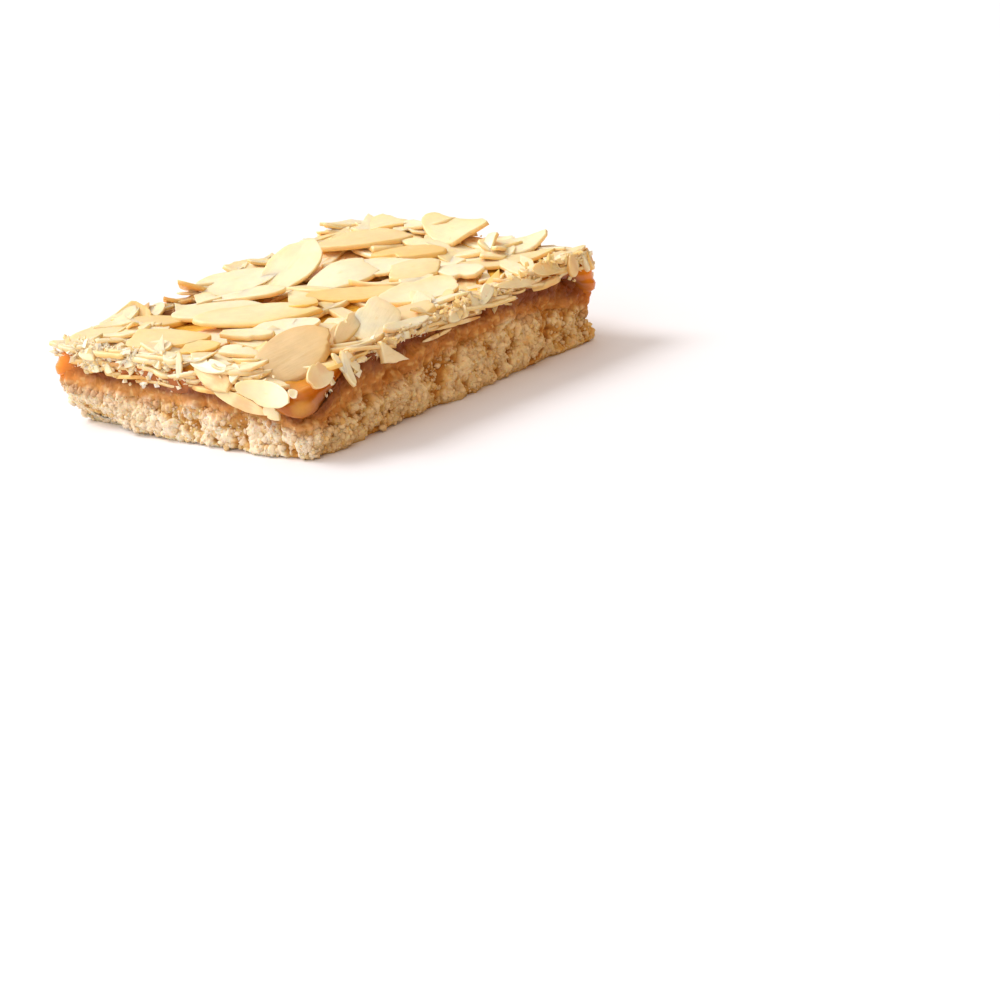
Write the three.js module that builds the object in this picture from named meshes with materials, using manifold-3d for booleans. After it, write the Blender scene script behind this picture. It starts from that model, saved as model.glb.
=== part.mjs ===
// A cut bar of almond caramel shortbread: a crumbly shortbread base, a band of
// set caramel, and a topping of caramel glaze packed with almond flakes.
// Millimetres, +Z up. The bar lies flat on its base, +X along its length and
// +Y across it, with the origin in the middle of its underside.

import * as THREE from 'three';
import { mergeVertices } from 'three/addons/utils/BufferGeometryUtils.js';
import { ImprovedNoise } from 'three/addons/math/ImprovedNoise.js';
import Module from 'manifold-3d';

// The bar and its layers. Where two layers meet, the line wanders up and down
// round the bar, between the heights given here.
const LENGTH = 75;
const WIDTH = 54;
const CORNER_RADIUS = 2;
const LAYER_GAP = 0.35;
const BASE_HEIGHT = 6.3;
const BASE_SWELL = 3;
const CARAMEL_TOP_LOW = 8.8;
const CARAMEL_TOP_HIGH = 12.8;
const GLAZE_TOP = 13.8;
const GLAZE_RISE = 0.03;
const GLAZE_TWIST = 0.0004;
const GLAZE_CROWN = 1.5;
const GLAZE_SHOULDER = 1.3;
const GLAZE_DIP = 1;
const RIM_POINTS = 108;

// Corners of a mesh nearer to each other than this are one.
const WELD = 0.001;

// The crumbled underside of one short end, highest at the -X +Y corner.
const CHIP_HEIGHT = 4.6;
const CHIP_RUN = 25;
const CHIP_RUN_BACK = 9;
const CHIP_DEPTH = 1.1;

// The almond flakes.
const FLAKE_THICKNESS = 1;
const FLAKE_LENGTH = [17, 23];
const FLAKE_WIDTH = [8, 11];
const PILE_COUNT = 46;
const PILE_CELL = 0.5;
const PILE_SINK = 0.8;
const STEEPEST_LEAN = 0.14;
const EDGE_SPACING = 10;
const EDGE_LAYER = 1.7;
const TOP_SIDES = 10;
const PILE_SIDES = 8;
const EDGE_SIDES = 6;

// The flakes that lie on top: middle x and y, heading, pitch and roll in degrees,
// length, width, and the part of the length kept from the blunt end (-1) to the
// pointed end (+1).
const TOP_FLAKES = [
  [7, 14, 2, 24, 5, 16, 9.5, -0.9, 1],
  [37, 16, -47, 4, 6, 15, 8, -0.9, 0.5],
  [29, 22, -30, 3, 6, 15, 8, -1, 0.5],
  [9.5, 24, -68, -3, 8, 16, 8.5, -1, 0.9],
  [1, 21, -50, 5, 12, 15, 9, -1, 1],
  [-22, 24, 40, 34, 0, 11, 7, -0.1, 0.95],
  [-25.5, 21, -24, -1.5, 5, 21, 7, -1, 1],
  [-13, 12, -57, 0, 6, 18, 8, -1, 0.9],
  [25, 13, -51, 2, 5, 17, 8, -1, 1],
  [24, 2, -64, 2, 3, 14, 6, -1, 0.9],
  [35, -0.5, -106, -1, 17, 18, 9, -1, 0.45],
  [2, -6, -61, 1, 5, 20, 6, -1, 1],
  [-15, 2, -57, 1, 6, 22, 9, -1, 1],
  [-31.5, 7.5, -71, 0, 12, 18.5, 6, -0.6, 0.9],
  [14, -7, -50, 3, 10, 13, 8, -0.6, 0.7],
  [9, 4, -16, 9, 8, 15, 9, -1, 0.7],
  [3, -18, -28, 4, 12, 15, 8, -1, 0.8],
  [18, -14, -85, 0, 4, 11, 6, -0.7, 0.8],
  [27, -17, -35, 1, 3, 17, 5, -1, 1],
  [33, -14, -46, 3, 8, 13, 7, -1, 0.9],
  [-33, 0, -74, 4, 8, 11, 5, -0.3, 0.9],
  [-33, -7, -48, -5, 8, 13, 3, -0.8, 0.7],
  [-31.5, -8.5, -83, -2, 8, 9, 3, -0.8, 1],
  [-25, -4.5, -71, 0, 9, 11, 3, -0.8, 0.9],
  [-9, -23, -10, 2, 6, 18, 7, -1, 0.8],
  [-13.5, -22.5, 14, 20, 24, 14, 7, -0.9, 0.6],
  [-19, -21, 16, 14, 34, 10, 3, -1, 1],
  [-20.5, -19, 23, 16, 23, 7, 2.5, -1, 0.8],
  [-29, -18.5, -38, 20, 31, 15, 11, -1, 0.85],
  [30, -11.5, -77, 12, 37, 5, 4.4, -0.4, 0.35],
];

const wasm = await Module();
wasm.setup();

const noise = new ImprovedNoise();

// Smooth relief between about -1 and 1, with bumps about `size` across.
function relief(x, y, z, size, offset) {
  return noise.noise(x / size + offset, y / size - offset, z / size + offset / 2);
}

// Layers.

// How close a place is to a corner of the bar, from 1 at the corner toward 0.
function nearCorner(x, y, signX, signY, reach) {
  const distance = Math.hypot(x - (signX * LENGTH) / 2, y - (signY * WIDTH) / 2);
  return Math.exp(-((distance / reach) ** 2));
}

// The height of the shortbread at a place of the bar.
function baseTop(x, y) {
  const swell = BASE_SWELL * Math.exp(-(((x - 11) / 24) ** 2));
  const corners = 0.9 * nearCorner(x, y, -1, 1, 8) - 1.5 * nearCorner(x, y, -1, -1, 8)
    - 2 * nearCorner(x, y, 1, -1, 7);
  return BASE_HEIGHT + swell + corners;
}

// The height of the caramel's upper face at a place of the bar.
function caramelTop(x, y) {
  const rise = THREE.MathUtils.smoothstep(x, -36, -24);
  const corners = 1.8 * nearCorner(x, y, -1, 1, 8) - 2.2 * nearCorner(x, y, -1, -1, 8)
    - 2 * nearCorner(x, y, 1, -1, 7);
  return THREE.MathUtils.lerp(CARAMEL_TOP_LOW, CARAMEL_TOP_HIGH, rise) + corners;
}

// A soft hump, 1 at its middle and falling off over its reaches.
function swell(x, y, middleX, middleY, reachX, reachY) {
  return Math.exp(-(((x - middleX) / reachX) ** 2) - ((y - middleY) / reachY) ** 2);
}

// The height of the glaze, into which the flakes sink: a slope with a crown
// toward the +X end, a shoulder at the -X +Y corner and a dip at the +Y side.
function glazeTop(x, y) {
  const crown = GLAZE_CROWN * swell(x, y, 37, 5, 13, 17);
  const shoulder = GLAZE_SHOULDER * swell(x, y, -34, 16, 12, 14);
  const dip = GLAZE_DIP * swell(x, y, -13, 27, 10, 12);
  return GLAZE_TOP + GLAZE_RISE * x + GLAZE_TWIST * x * y + crown + shoulder - dip;
}

// The bar's outline seen from above, as evenly spaced points with the
// direction that each one faces.
function barOutline(count) {
  const x = LENGTH / 2 - CORNER_RADIUS;
  const y = WIDTH / 2 - CORNER_RADIUS;
  const quarter = Math.PI / 2;
  const shape = new THREE.Shape();
  shape.absarc(x, y, CORNER_RADIUS, 0, quarter);
  shape.absarc(-x, y, CORNER_RADIUS, quarter, 2 * quarter);
  shape.absarc(-x, -y, CORNER_RADIUS, 2 * quarter, 3 * quarter);
  shape.absarc(x, -y, CORNER_RADIUS, 3 * quarter, 4 * quarter);
  shape.closePath();
  return shape.getSpacedPoints(count).slice(0, count).map((point) => {
    const core = new THREE.Vector2(
      THREE.MathUtils.clamp(point.x, -x, x),
      THREE.MathUtils.clamp(point.y, -y, y),
    );
    return { point, out: point.clone().sub(core).normalize() };
  });
}

// A closed solid whose side runs through rings from the underside up. Each
// ring gives its height and how far it stands out at a place of the outline.
// A fan of triangles to a point in the middle closes each end.
function ringSolid(rings, bottomMiddle, topMiddle) {
  const positions = [];
  const faces = [];
  for (const ring of rings) {
    for (const { point, out } of barOutline(RIM_POINTS)) {
      const { height, offset } = ring(point.x, point.y);
      const edge = out.clone().multiplyScalar(offset).add(point);
      positions.push(edge.x, edge.y, height);
    }
  }
  positions.push(0, 0, bottomMiddle, 0, 0, topMiddle);
  const bottomPoint = rings.length * RIM_POINTS;
  const topPoint = bottomPoint + 1;
  const topRing = bottomPoint - RIM_POINTS;
  for (let k = 0; k < RIM_POINTS; k += 1) {
    const next = (k + 1) % RIM_POINTS;
    for (let low = 0; low < topRing; low += RIM_POINTS) {
      const high = low + RIM_POINTS;
      faces.push(low + k, low + next, high + next);
      faces.push(low + k, high + next, high + k);
    }
    faces.push(bottomPoint, next, k);
    faces.push(topPoint, topRing + k, topRing + next);
  }
  const geometry = new THREE.BufferGeometry();
  geometry.setAttribute('position', new THREE.Float32BufferAttribute(positions, 3));
  geometry.setIndex(faces);
  geometry.computeVertexNormals();
  return geometry;
}

// The rings of a layer between two wandering faces, with its side's relief.
function layerRings(shares, bottom, top, offset) {
  return shares.map((share) => (x, y) => {
    const height = THREE.MathUtils.lerp(bottom(x, y), top(x, y), share);
    return { height, offset: offset(x, y, height, share) };
  });
}

// How high the underside has crumbled away at a place of the bar's edge.
function chipHeight(x, y) {
  const alongEnd = Math.max(WIDTH / 2 - y, 0) / CHIP_RUN;
  const alongSide = Math.max(x + LENGTH / 2, 0) / CHIP_RUN_BACK;
  return CHIP_HEIGHT * Math.max(1 - Math.hypot(alongEnd, alongSide), 0);
}

function shortbreadBase() {
  const side = (x, y, z, share) => {
    const lumps = 1.3 * relief(x, y, z, 4.5, 3) + 0.8 * relief(x, y, z, 2.1, 17);
    const chip = Math.max(chipHeight(x, y) - z, 0) * CHIP_DEPTH;
    const lowerEdge = share === 0 ? 0.8 : 0;
    return lumps - chip - lowerEdge;
  };
  const rings = layerRings([0, 0.1, 0.32, 0.55, 0.78, 1], () => 0, baseTop, side);
  return ringSolid(rings, 0, baseTop(0, 0));
}

function caramelLayer() {
  const bottom = (x, y) => baseTop(x, y) + LAYER_GAP;
  const side = (x, y, z) => 0.5 * relief(x, y, z, 5, 29) - 0.2;
  const rings = layerRings([0, 0.33, 0.67, 1], bottom, caramelTop, side);
  return ringSolid(rings, bottom(0, 0), caramelTop(0, 0));
}

// The glaze, which bulges out at the corner where it has run down. It starts
// inside the caramel, to be cut clear of it with the flakes.
function glaze() {
  const bottom = (x, y) => caramelTop(x, y) - 1;
  const side = (x, y, z) => {
    const run = 1.4 * nearCorner(x, y, -1, -1, 6);
    return 0.8 * relief(x, y, z, 3.5, 41) - 0.4 + run;
  };
  return ringSolid(layerRings([0, 0.5, 1], bottom, glazeTop, side), bottom(0, 0), glazeTop(0, 0));
}

// Everything up to just above the caramel, which no flake may enter.
function belowGlaze() {
  const margin = 5;
  const height = (x, y) => caramelTop(x, y) + LAYER_GAP;
  const rings = [
    () => ({ height: 0, offset: margin }),
    (x, y) => ({ height: height(x, y), offset: margin }),
    (x, y) => ({ height: height(x, y), offset: 0 }),
  ];
  return ringSolid(rings, 0, height(0, 0));
}

// Almond flakes.

// A slice of almond with its blunt end at -X and its pointed end at +X.
function almondOutline(length, width, points) {
  return Array.from({ length: points }, (_, k) => {
    const angle = (2 * Math.PI * (k + 0.5)) / points;
    const along = Math.cos(angle);
    const across = Math.sin(angle);
    const taper = 1.4 + 0.4 * along;
    const side = Math.sign(across) * Math.abs(across) ** taper;
    return new THREE.Vector2((length / 2) * along, (width / 2) * side);
  });
}

// The part of a convex outline on one side of a straight break.
function breakOff(outline, normalX, normalY, limit) {
  const depth = (point) => normalX * point.x + normalY * point.y - limit;
  const kept = [];
  outline.forEach((point, k) => {
    const next = outline[(k + 1) % outline.length];
    const here = depth(point);
    const there = depth(next);
    if (here <= 0) kept.push(point);
    if (here * there < 0) kept.push(point.clone().lerp(next, here / (here - there)));
  });
  return kept;
}

// A flake cut off where it would stand out of the bar by more than `over`.
function trimToBar(outline, x, y, heading, over) {
  const c = Math.cos(heading);
  const s = Math.sin(heading);
  let kept = breakOff(outline, c, -s, LENGTH / 2 + over - x);
  kept = breakOff(kept, -c, s, LENGTH / 2 + over + x);
  kept = breakOff(kept, s, c, WIDTH / 2 + over - y);
  return breakOff(kept, -s, -c, WIDTH / 2 + over + y);
}

// The heights of the topping as it is laid, in small square cells.
class Pile {
  constructor() {
    this.cells = [];
    for (let y = -WIDTH / 2 + PILE_CELL / 2; y < WIDTH / 2; y += PILE_CELL) {
      for (let x = -LENGTH / 2 + PILE_CELL / 2; x < LENGTH / 2; x += PILE_CELL) {
        this.cells.push({ x, y, height: glazeTop(x, y) - PILE_SINK });
      }
    }
  }

  // The cells under a flake's outline.
  under(outline, x, y, heading) {
    const ring = outline.map((point) => {
      const turned = point.clone().rotateAround(new THREE.Vector2(), heading);
      return turned.add(new THREE.Vector2(x, y));
    });
    return this.cells.filter((cell) => ring.every((point, k) => {
      const next = ring[(k + 1) % ring.length];
      const edgeX = next.x - point.x;
      const edgeY = next.y - point.y;
      return edgeX * (cell.y - point.y) - edgeY * (cell.x - point.x) >= 0;
    }));
  }

  // Lays a flake with given slopes at the height that `share` of the cells
  // under it stay below, and returns it.
  lay(flake, slopeX, slopeY, share) {
    const cells = this.under(flake.outline, flake.x, flake.y, flake.heading);
    const rise = (cell) => slopeX * (cell.x - flake.x) + slopeY * (cell.y - flake.y);
    const heights = cells.map((cell) => cell.height - rise(cell)).sort((a, b) => a - b);
    const z = heights[Math.floor(share * (heights.length - 1))];
    for (const cell of cells) {
      cell.height = Math.max(cell.height, z + rise(cell) + FLAKE_THICKNESS);
    }
    return { ...flake, z, slopeX, slopeY };
  }
}

// The slopes of the plane that fits the cells best, held to a gentle lean.
function fittedSlopes(cells) {
  const mean = (key) => cells.reduce((sum, cell) => sum + cell[key], 0) / cells.length;
  const [meanX, meanY, meanHeight] = [mean('x'), mean('y'), mean('height')];
  const sums = { xx: 1e-6, xy: 0, yy: 1e-6, xh: 0, yh: 0 };
  for (const cell of cells) {
    const x = cell.x - meanX;
    const y = cell.y - meanY;
    const height = cell.height - meanHeight;
    sums.xx += x * x;
    sums.xy += x * y;
    sums.yy += y * y;
    sums.xh += x * height;
    sums.yh += y * height;
  }
  const determinant = sums.xx * sums.yy - sums.xy * sums.xy;
  const slopes = new THREE.Vector2(
    (sums.xh * sums.yy - sums.yh * sums.xy) / determinant,
    (sums.yh * sums.xx - sums.xh * sums.xy) / determinant,
  );
  return slopes.clampLength(0, STEEPEST_LEAN);
}

// The slopes of a flake that is pitched up toward its heading and rolled.
function tiltedSlopes(heading, pitch, roll) {
  const turn = new THREE.Euler(roll, -pitch, heading, 'ZYX');
  const up = new THREE.Vector3(0, 0, 1).applyEuler(turn);
  return new THREE.Vector2(-up.x / up.z, -up.y / up.z);
}

// The loose flakes, spread evenly over the bar by steps that never repeat.
// Rather more than half are broken off, some of these are split along too, and
// a few are slivers.
function loosePile(pile) {
  const random = seeded(7);
  const flakes = [];
  for (let k = 0; k < PILE_COUNT; k += 1) {
    const x = (((k * 0.7548776662 + 0.5) % 1) - 0.5) * (LENGTH - 4);
    const y = (((k * 0.5698402910 + 0.5) % 1) - 0.5) * (WIDTH - 4);
    const heading = random() * 2 * Math.PI;
    const length = THREE.MathUtils.lerp(...FLAKE_LENGTH, random());
    const width = THREE.MathUtils.lerp(...FLAKE_WIDTH, random());
    const kind = random();
    const breakAngle = (random() - 0.5) * 1.2;
    const breakPlace = (random() * 0.8 - 0.1) * (length / 2);
    const splitPlace = (random() * 0.6 - 0.1) * (width / 2);
    let outline = almondOutline(length, width, PILE_SIDES);
    if (kind < 0.55) {
      outline = breakOff(outline, Math.cos(breakAngle), Math.sin(breakAngle), breakPlace);
      if (kind < 0.25) outline = breakOff(outline, 0.3, 1, splitPlace);
    } else if (kind < 0.7) {
      outline = breakOff(outline, 0, 1, width * 0.12);
      outline = breakOff(outline, 0, -1, width * 0.2);
    }
    outline = trimToBar(outline, x, y, heading, random() * 2 - 1.2);
    const leanX = (random() - 0.5) * 0.16;
    const leanY = (random() - 0.5) * 0.16;
    const cells = pile.under(outline, x, y, heading);
    if (cells.length < 60) continue;
    const slopes = fittedSlopes(cells);
    const flake = { x, y, heading, outline };
    flakes.push(pile.lay(flake, slopes.x + leanX, slopes.y + leanY, 0.62));
  }
  return flakes;
}

// The chosen flakes on top of the pile.
function topFlakes(pile) {
  return TOP_FLAKES.map(([x, y, headingDegrees, pitch, roll, length, width, from, to]) => {
    const heading = THREE.MathUtils.degToRad(headingDegrees);
    let outline = almondOutline(length, width, TOP_SIDES);
    outline = breakOff(outline, 1, -0.15, (to * length) / 2);
    outline = breakOff(outline, -1, 0.1, (-from * length) / 2);
    outline = trimToBar(outline, x, y, heading, 1.2);
    const slopes = tiltedSlopes(
      heading,
      THREE.MathUtils.degToRad(pitch),
      THREE.MathUtils.degToRad(roll),
    );
    return pile.lay({ x, y, heading, outline }, slopes.x, slopes.y, 0.7);
  });
}

// Short cut flakes that lie in the glaze round the bar and show at its sides as
// ragged layers, except at the corner where the glaze has run down.
function edgeFlakes() {
  const random = seeded(23);
  const count = Math.round((2 * (LENGTH + WIDTH)) / EDGE_SPACING);
  const flakes = [];
  for (const { point, out } of barOutline(count)) {
    if (nearCorner(point.x, point.y, -1, -1, 5) > 0.5) continue;
    const highest = glazeTop(point.x, point.y) - 0.3;
    for (let z = caramelTop(point.x, point.y) + 0.6; z < highest; z += EDGE_LAYER) {
      const shift = (random() - 0.5) * EDGE_SPACING;
      const x = point.x - 2.4 * out.x - shift * out.y;
      const y = point.y - 2.4 * out.y + shift * out.x;
      const heading = Math.atan2(out.y, out.x) + Math.PI / 2 + (random() - 0.5) * 1.4;
      const length = 10 + 4 * random();
      const width = 5 + 2 * random();
      const over = 0.2 + 0.8 * random();
      const whole = almondOutline(length, width, EDGE_SIDES);
      const outline = trimToBar(whole, x, y, heading, over);
      const slopeX = (random() - 0.5) * 0.14;
      const slopeY = (random() - 0.5) * 0.14;
      flakes.push({ x, y, z, heading, slopeX, slopeY, outline });
    }
  }
  return flakes;
}

function flakeGeometry({ x, y, z, heading, slopeX, slopeY, outline }) {
  const geometry = new THREE.ExtrudeGeometry(new THREE.Shape(outline), {
    depth: FLAKE_THICKNESS,
    bevelEnabled: false,
  });
  const up = new THREE.Vector3(-slopeX, -slopeY, 1).normalize();
  const c = Math.cos(heading);
  const s = Math.sin(heading);
  const along = new THREE.Vector3(c, s, slopeX * c + slopeY * s).normalize();
  const across = new THREE.Vector3().crossVectors(up, along);
  const place = new THREE.Matrix4().makeBasis(along, across, up).setPosition(x, y, z);
  return geometry.applyMatrix4(place);
}

// Solids.

// Random numbers from 0 to 1 that are the same in every run.
function seeded(seed) {
  THREE.MathUtils.seededRandom(seed);
  return () => THREE.MathUtils.seededRandom();
}

function toSolid(geometry) {
  geometry.deleteAttribute('normal');
  geometry.deleteAttribute('uv');
  const merged = mergeVertices(geometry, WELD);
  return new wasm.Manifold(new wasm.Mesh({
    numProp: 3,
    vertProperties: merged.attributes.position.array,
    triVerts: new Uint32Array(merged.index.array),
  }));
}

function toGeometry(solid) {
  const { vertProperties, triVerts } = solid.getMesh();
  const geometry = new THREE.BufferGeometry();
  geometry.setAttribute('position', new THREE.BufferAttribute(vertProperties, 3));
  geometry.setIndex(new THREE.BufferAttribute(triVerts, 1));
  geometry.computeVertexNormals();
  return geometry;
}

// The outer shell of a solid: a pocket sealed inside is filled by leaving its
// wall out, and a loose scrap is dropped.
function outerShell(solid) {
  return solid.decompose().reduce((a, b) => (a.volume() > b.volume() ? a : b));
}

// The glaze with every flake fused to it, cut clear of the caramel below.
function almondTopping() {
  const pile = new Pile();
  const flakes = [...edgeFlakes(), ...loosePile(pile), ...topFlakes(pile)];
  const joined = flakes.reduce(
    (solid, flake) => solid.add(toSolid(flakeGeometry(flake))),
    toSolid(glaze()),
  );
  const cut = joined.subtract(toSolid(belowGlaze()));
  const welded = toSolid(toGeometry(cut));
  return toGeometry(outerShell(welded));
}

// The bar.

function layer(name, geometry, color, roughness) {
  const material = new THREE.MeshStandardMaterial({ color, roughness, metalness: 0 });
  const mesh = new THREE.Mesh(geometry, material);
  mesh.name = name;
  return mesh;
}

const bar = new THREE.Group();
bar.name = 'almond_caramel_shortbread';
bar.add(layer('shortbread_base', shortbreadBase(), 0xe6c591, 0.9));
bar.add(layer('caramel_layer', caramelLayer(), 0xb57a52, 0.5));
bar.add(layer('almond_topping', almondTopping(), 0xf0dcae, 0.45));

export default bar;
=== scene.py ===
"""A cut bar of almond caramel shortbread on a pale floor.

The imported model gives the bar's layers and their places. Here the shortbread
gets its crumb, the caramel its grain, and the topping its almond flakes, which
are laid by the same rule and the same numbers as the solids. Lengths are in
millimetres until a mesh is made.
"""

import copy
import math

import bpy
import numpy as np
from mathutils import Matrix, Vector
from mathutils.bvhtree import BVHTree

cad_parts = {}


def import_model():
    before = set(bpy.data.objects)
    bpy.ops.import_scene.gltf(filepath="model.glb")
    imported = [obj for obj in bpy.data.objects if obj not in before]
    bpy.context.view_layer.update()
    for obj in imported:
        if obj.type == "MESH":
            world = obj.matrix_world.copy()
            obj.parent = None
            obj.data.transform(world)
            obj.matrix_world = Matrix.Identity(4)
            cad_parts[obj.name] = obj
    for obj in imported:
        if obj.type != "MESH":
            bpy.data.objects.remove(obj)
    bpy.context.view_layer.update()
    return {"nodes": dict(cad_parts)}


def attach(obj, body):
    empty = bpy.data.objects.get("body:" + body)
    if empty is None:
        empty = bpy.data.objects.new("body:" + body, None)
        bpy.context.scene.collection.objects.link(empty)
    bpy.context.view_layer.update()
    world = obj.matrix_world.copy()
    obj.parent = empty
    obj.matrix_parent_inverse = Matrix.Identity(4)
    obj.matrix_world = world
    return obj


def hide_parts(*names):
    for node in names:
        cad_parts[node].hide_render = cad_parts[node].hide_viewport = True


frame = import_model()

MM = 0.001

# The bar and its layers, as in the solids.
LENGTH = 75
WIDTH = 54
CORNER_RADIUS = 2
OUTLINE_LENGTH = 2 * (LENGTH + WIDTH - 4 * CORNER_RADIUS) + 2 * math.pi * CORNER_RADIUS
BASE_HEIGHT = 6.3
BASE_SWELL = 3
LAYER_GAP = 0.35
CARAMEL_TOP_LOW = 8.8
CARAMEL_TOP_HIGH = 12.8
GLAZE_TOP = 13.8
GLAZE_RISE = 0.03
GLAZE_TWIST = 0.0004
GLAZE_CROWN = 1.5
GLAZE_SHOULDER = 1.3
GLAZE_DIP = 1

# The corners that differ from the rest, as the signs of their x and y: the one that
# the photo shows in front, and those to its left and right.
FRONT = (-1, -1)
LEFT = (-1, 1)
RIGHT = (1, -1)

# The mesh of the cut sides: its columns, the height of a row, and how far above and
# below the seam the solids' sides are felt for.
SIDE_COLUMNS = 1500
SIDE_STEP = 0.19
SEAM_STEP = 0.15

# The crumb's lumps: size, height and noise seed, and about how high they stand together.
CRUMB_SIZES = [(3.4, 1.5, 0), (1.6, 0.8, 10), (0.85, 0.42, 20), (0.5, 0.24, 25)]
CRUMB_MEAN = 1.5

# The almond flakes, as in the solids.
FLAKE_THICKNESS = 1
FLAKE_LENGTH = (17, 23)
FLAKE_WIDTH = (8, 11)
PILE_COUNT = 46
PILE_CELL = 0.5
PILE_SINK = 0.8
STEEPEST_LEAN = 0.14
EDGE_SPACING = 10
EDGE_LAYER = 1.7

# How many loose bits of each kind are tried. Those that would lie badly are left out.
CHIP_TRIES = 90
SHARD_TRIES = 240
SCRAP_TRIES = 1500
SIDE_CRUMB_TRIES = 7500

# The flakes on top: middle x and y, heading, pitch and roll in degrees, length,
# width, and the part kept from the blunt end (-1) to the pointed end (+1).
TOP_FLAKES = [
    (7, 14, 2, 24, 5, 16, 9.5, -0.9, 1),
    (37, 16, -47, 4, 6, 15, 8, -0.9, 0.5),
    (29, 22, -30, 3, 6, 15, 8, -1, 0.5),
    (9.5, 24, -68, -3, 8, 16, 8.5, -1, 0.9),
    (1, 21, -50, 5, 12, 15, 9, -1, 1),
    (-22, 24, 40, 34, 0, 11, 7, -0.1, 0.95),
    (-25.5, 21, -24, -1.5, 5, 21, 7, -1, 1),
    (-13, 12, -57, 0, 6, 18, 8, -1, 0.9),
    (25, 13, -51, 2, 5, 17, 8, -1, 1),
    (24, 2, -64, 2, 3, 14, 6, -1, 0.9),
    (35, -0.5, -106, -1, 17, 18, 9, -1, 0.45),
    (2, -6, -61, 1, 5, 20, 6, -1, 1),
    (-15, 2, -57, 1, 6, 22, 9, -1, 1),
    (-31.5, 7.5, -71, 0, 12, 18.5, 6, -0.6, 0.9),
    (14, -7, -50, 3, 10, 13, 8, -0.6, 0.7),
    (9, 4, -16, 9, 8, 15, 9, -1, 0.7),
    (3, -18, -28, 4, 12, 15, 8, -1, 0.8),
    (18, -14, -85, 0, 4, 11, 6, -0.7, 0.8),
    (27, -17, -35, 1, 3, 17, 5, -1, 1),
    (33, -14, -46, 3, 8, 13, 7, -1, 0.9),
    (-33, 0, -74, 4, 8, 11, 5, -0.3, 0.9),
    (-33, -7, -48, -5, 8, 13, 3, -0.8, 0.7),
    (-31.5, -8.5, -83, -2, 8, 9, 3, -0.8, 1),
    (-25, -4.5, -71, 0, 9, 11, 3, -0.8, 0.9),
    (-9, -23, -10, 2, 6, 18, 7, -1, 0.8),
    (-13.5, -22.5, 14, 20, 24, 14, 7, -0.9, 0.6),
    (-19, -21, 16, 14, 34, 10, 3, -1, 1),
    (-20.5, -19, 23, 16, 23, 7, 2.5, -1, 0.8),
    (-29, -18.5, -38, 20, 31, 15, 11, -1, 0.85),
    (30, -11.5, -77, 12, 37, 5, 4.4, -0.4, 0.35),
]

# The large flake that hangs over the front corner, by its number on top.
CORNER_FLAKE = 28

# Top flakes that are more golden than the rest, by number, and how far toward honey:
# partly their own tone, partly painted shade on flakes that lie in shade.
STAINED_AND_SHADED = {
    1: 0.3, 2: 0.4, 5: 0.4, 6: 0.15, 8: 0.5, 9: 0.7, 10: 0.2, 11: 0.55, 13: 0.4, 14: 0.35,
    18: 0.3, 19: 0.15, 20: 0.6, 26: 0.2, 27: 0.3,
}
# The same for those that are brown and see-through, and how far toward their brown:
# painted shade, above all on the corner flake that tilts away from the light, partly soaking.
BROWNED_AND_SHADED = {CORNER_FLAKE: 0.75, 26: 0.3, 27: 0.2, 24: 0.2}

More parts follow.
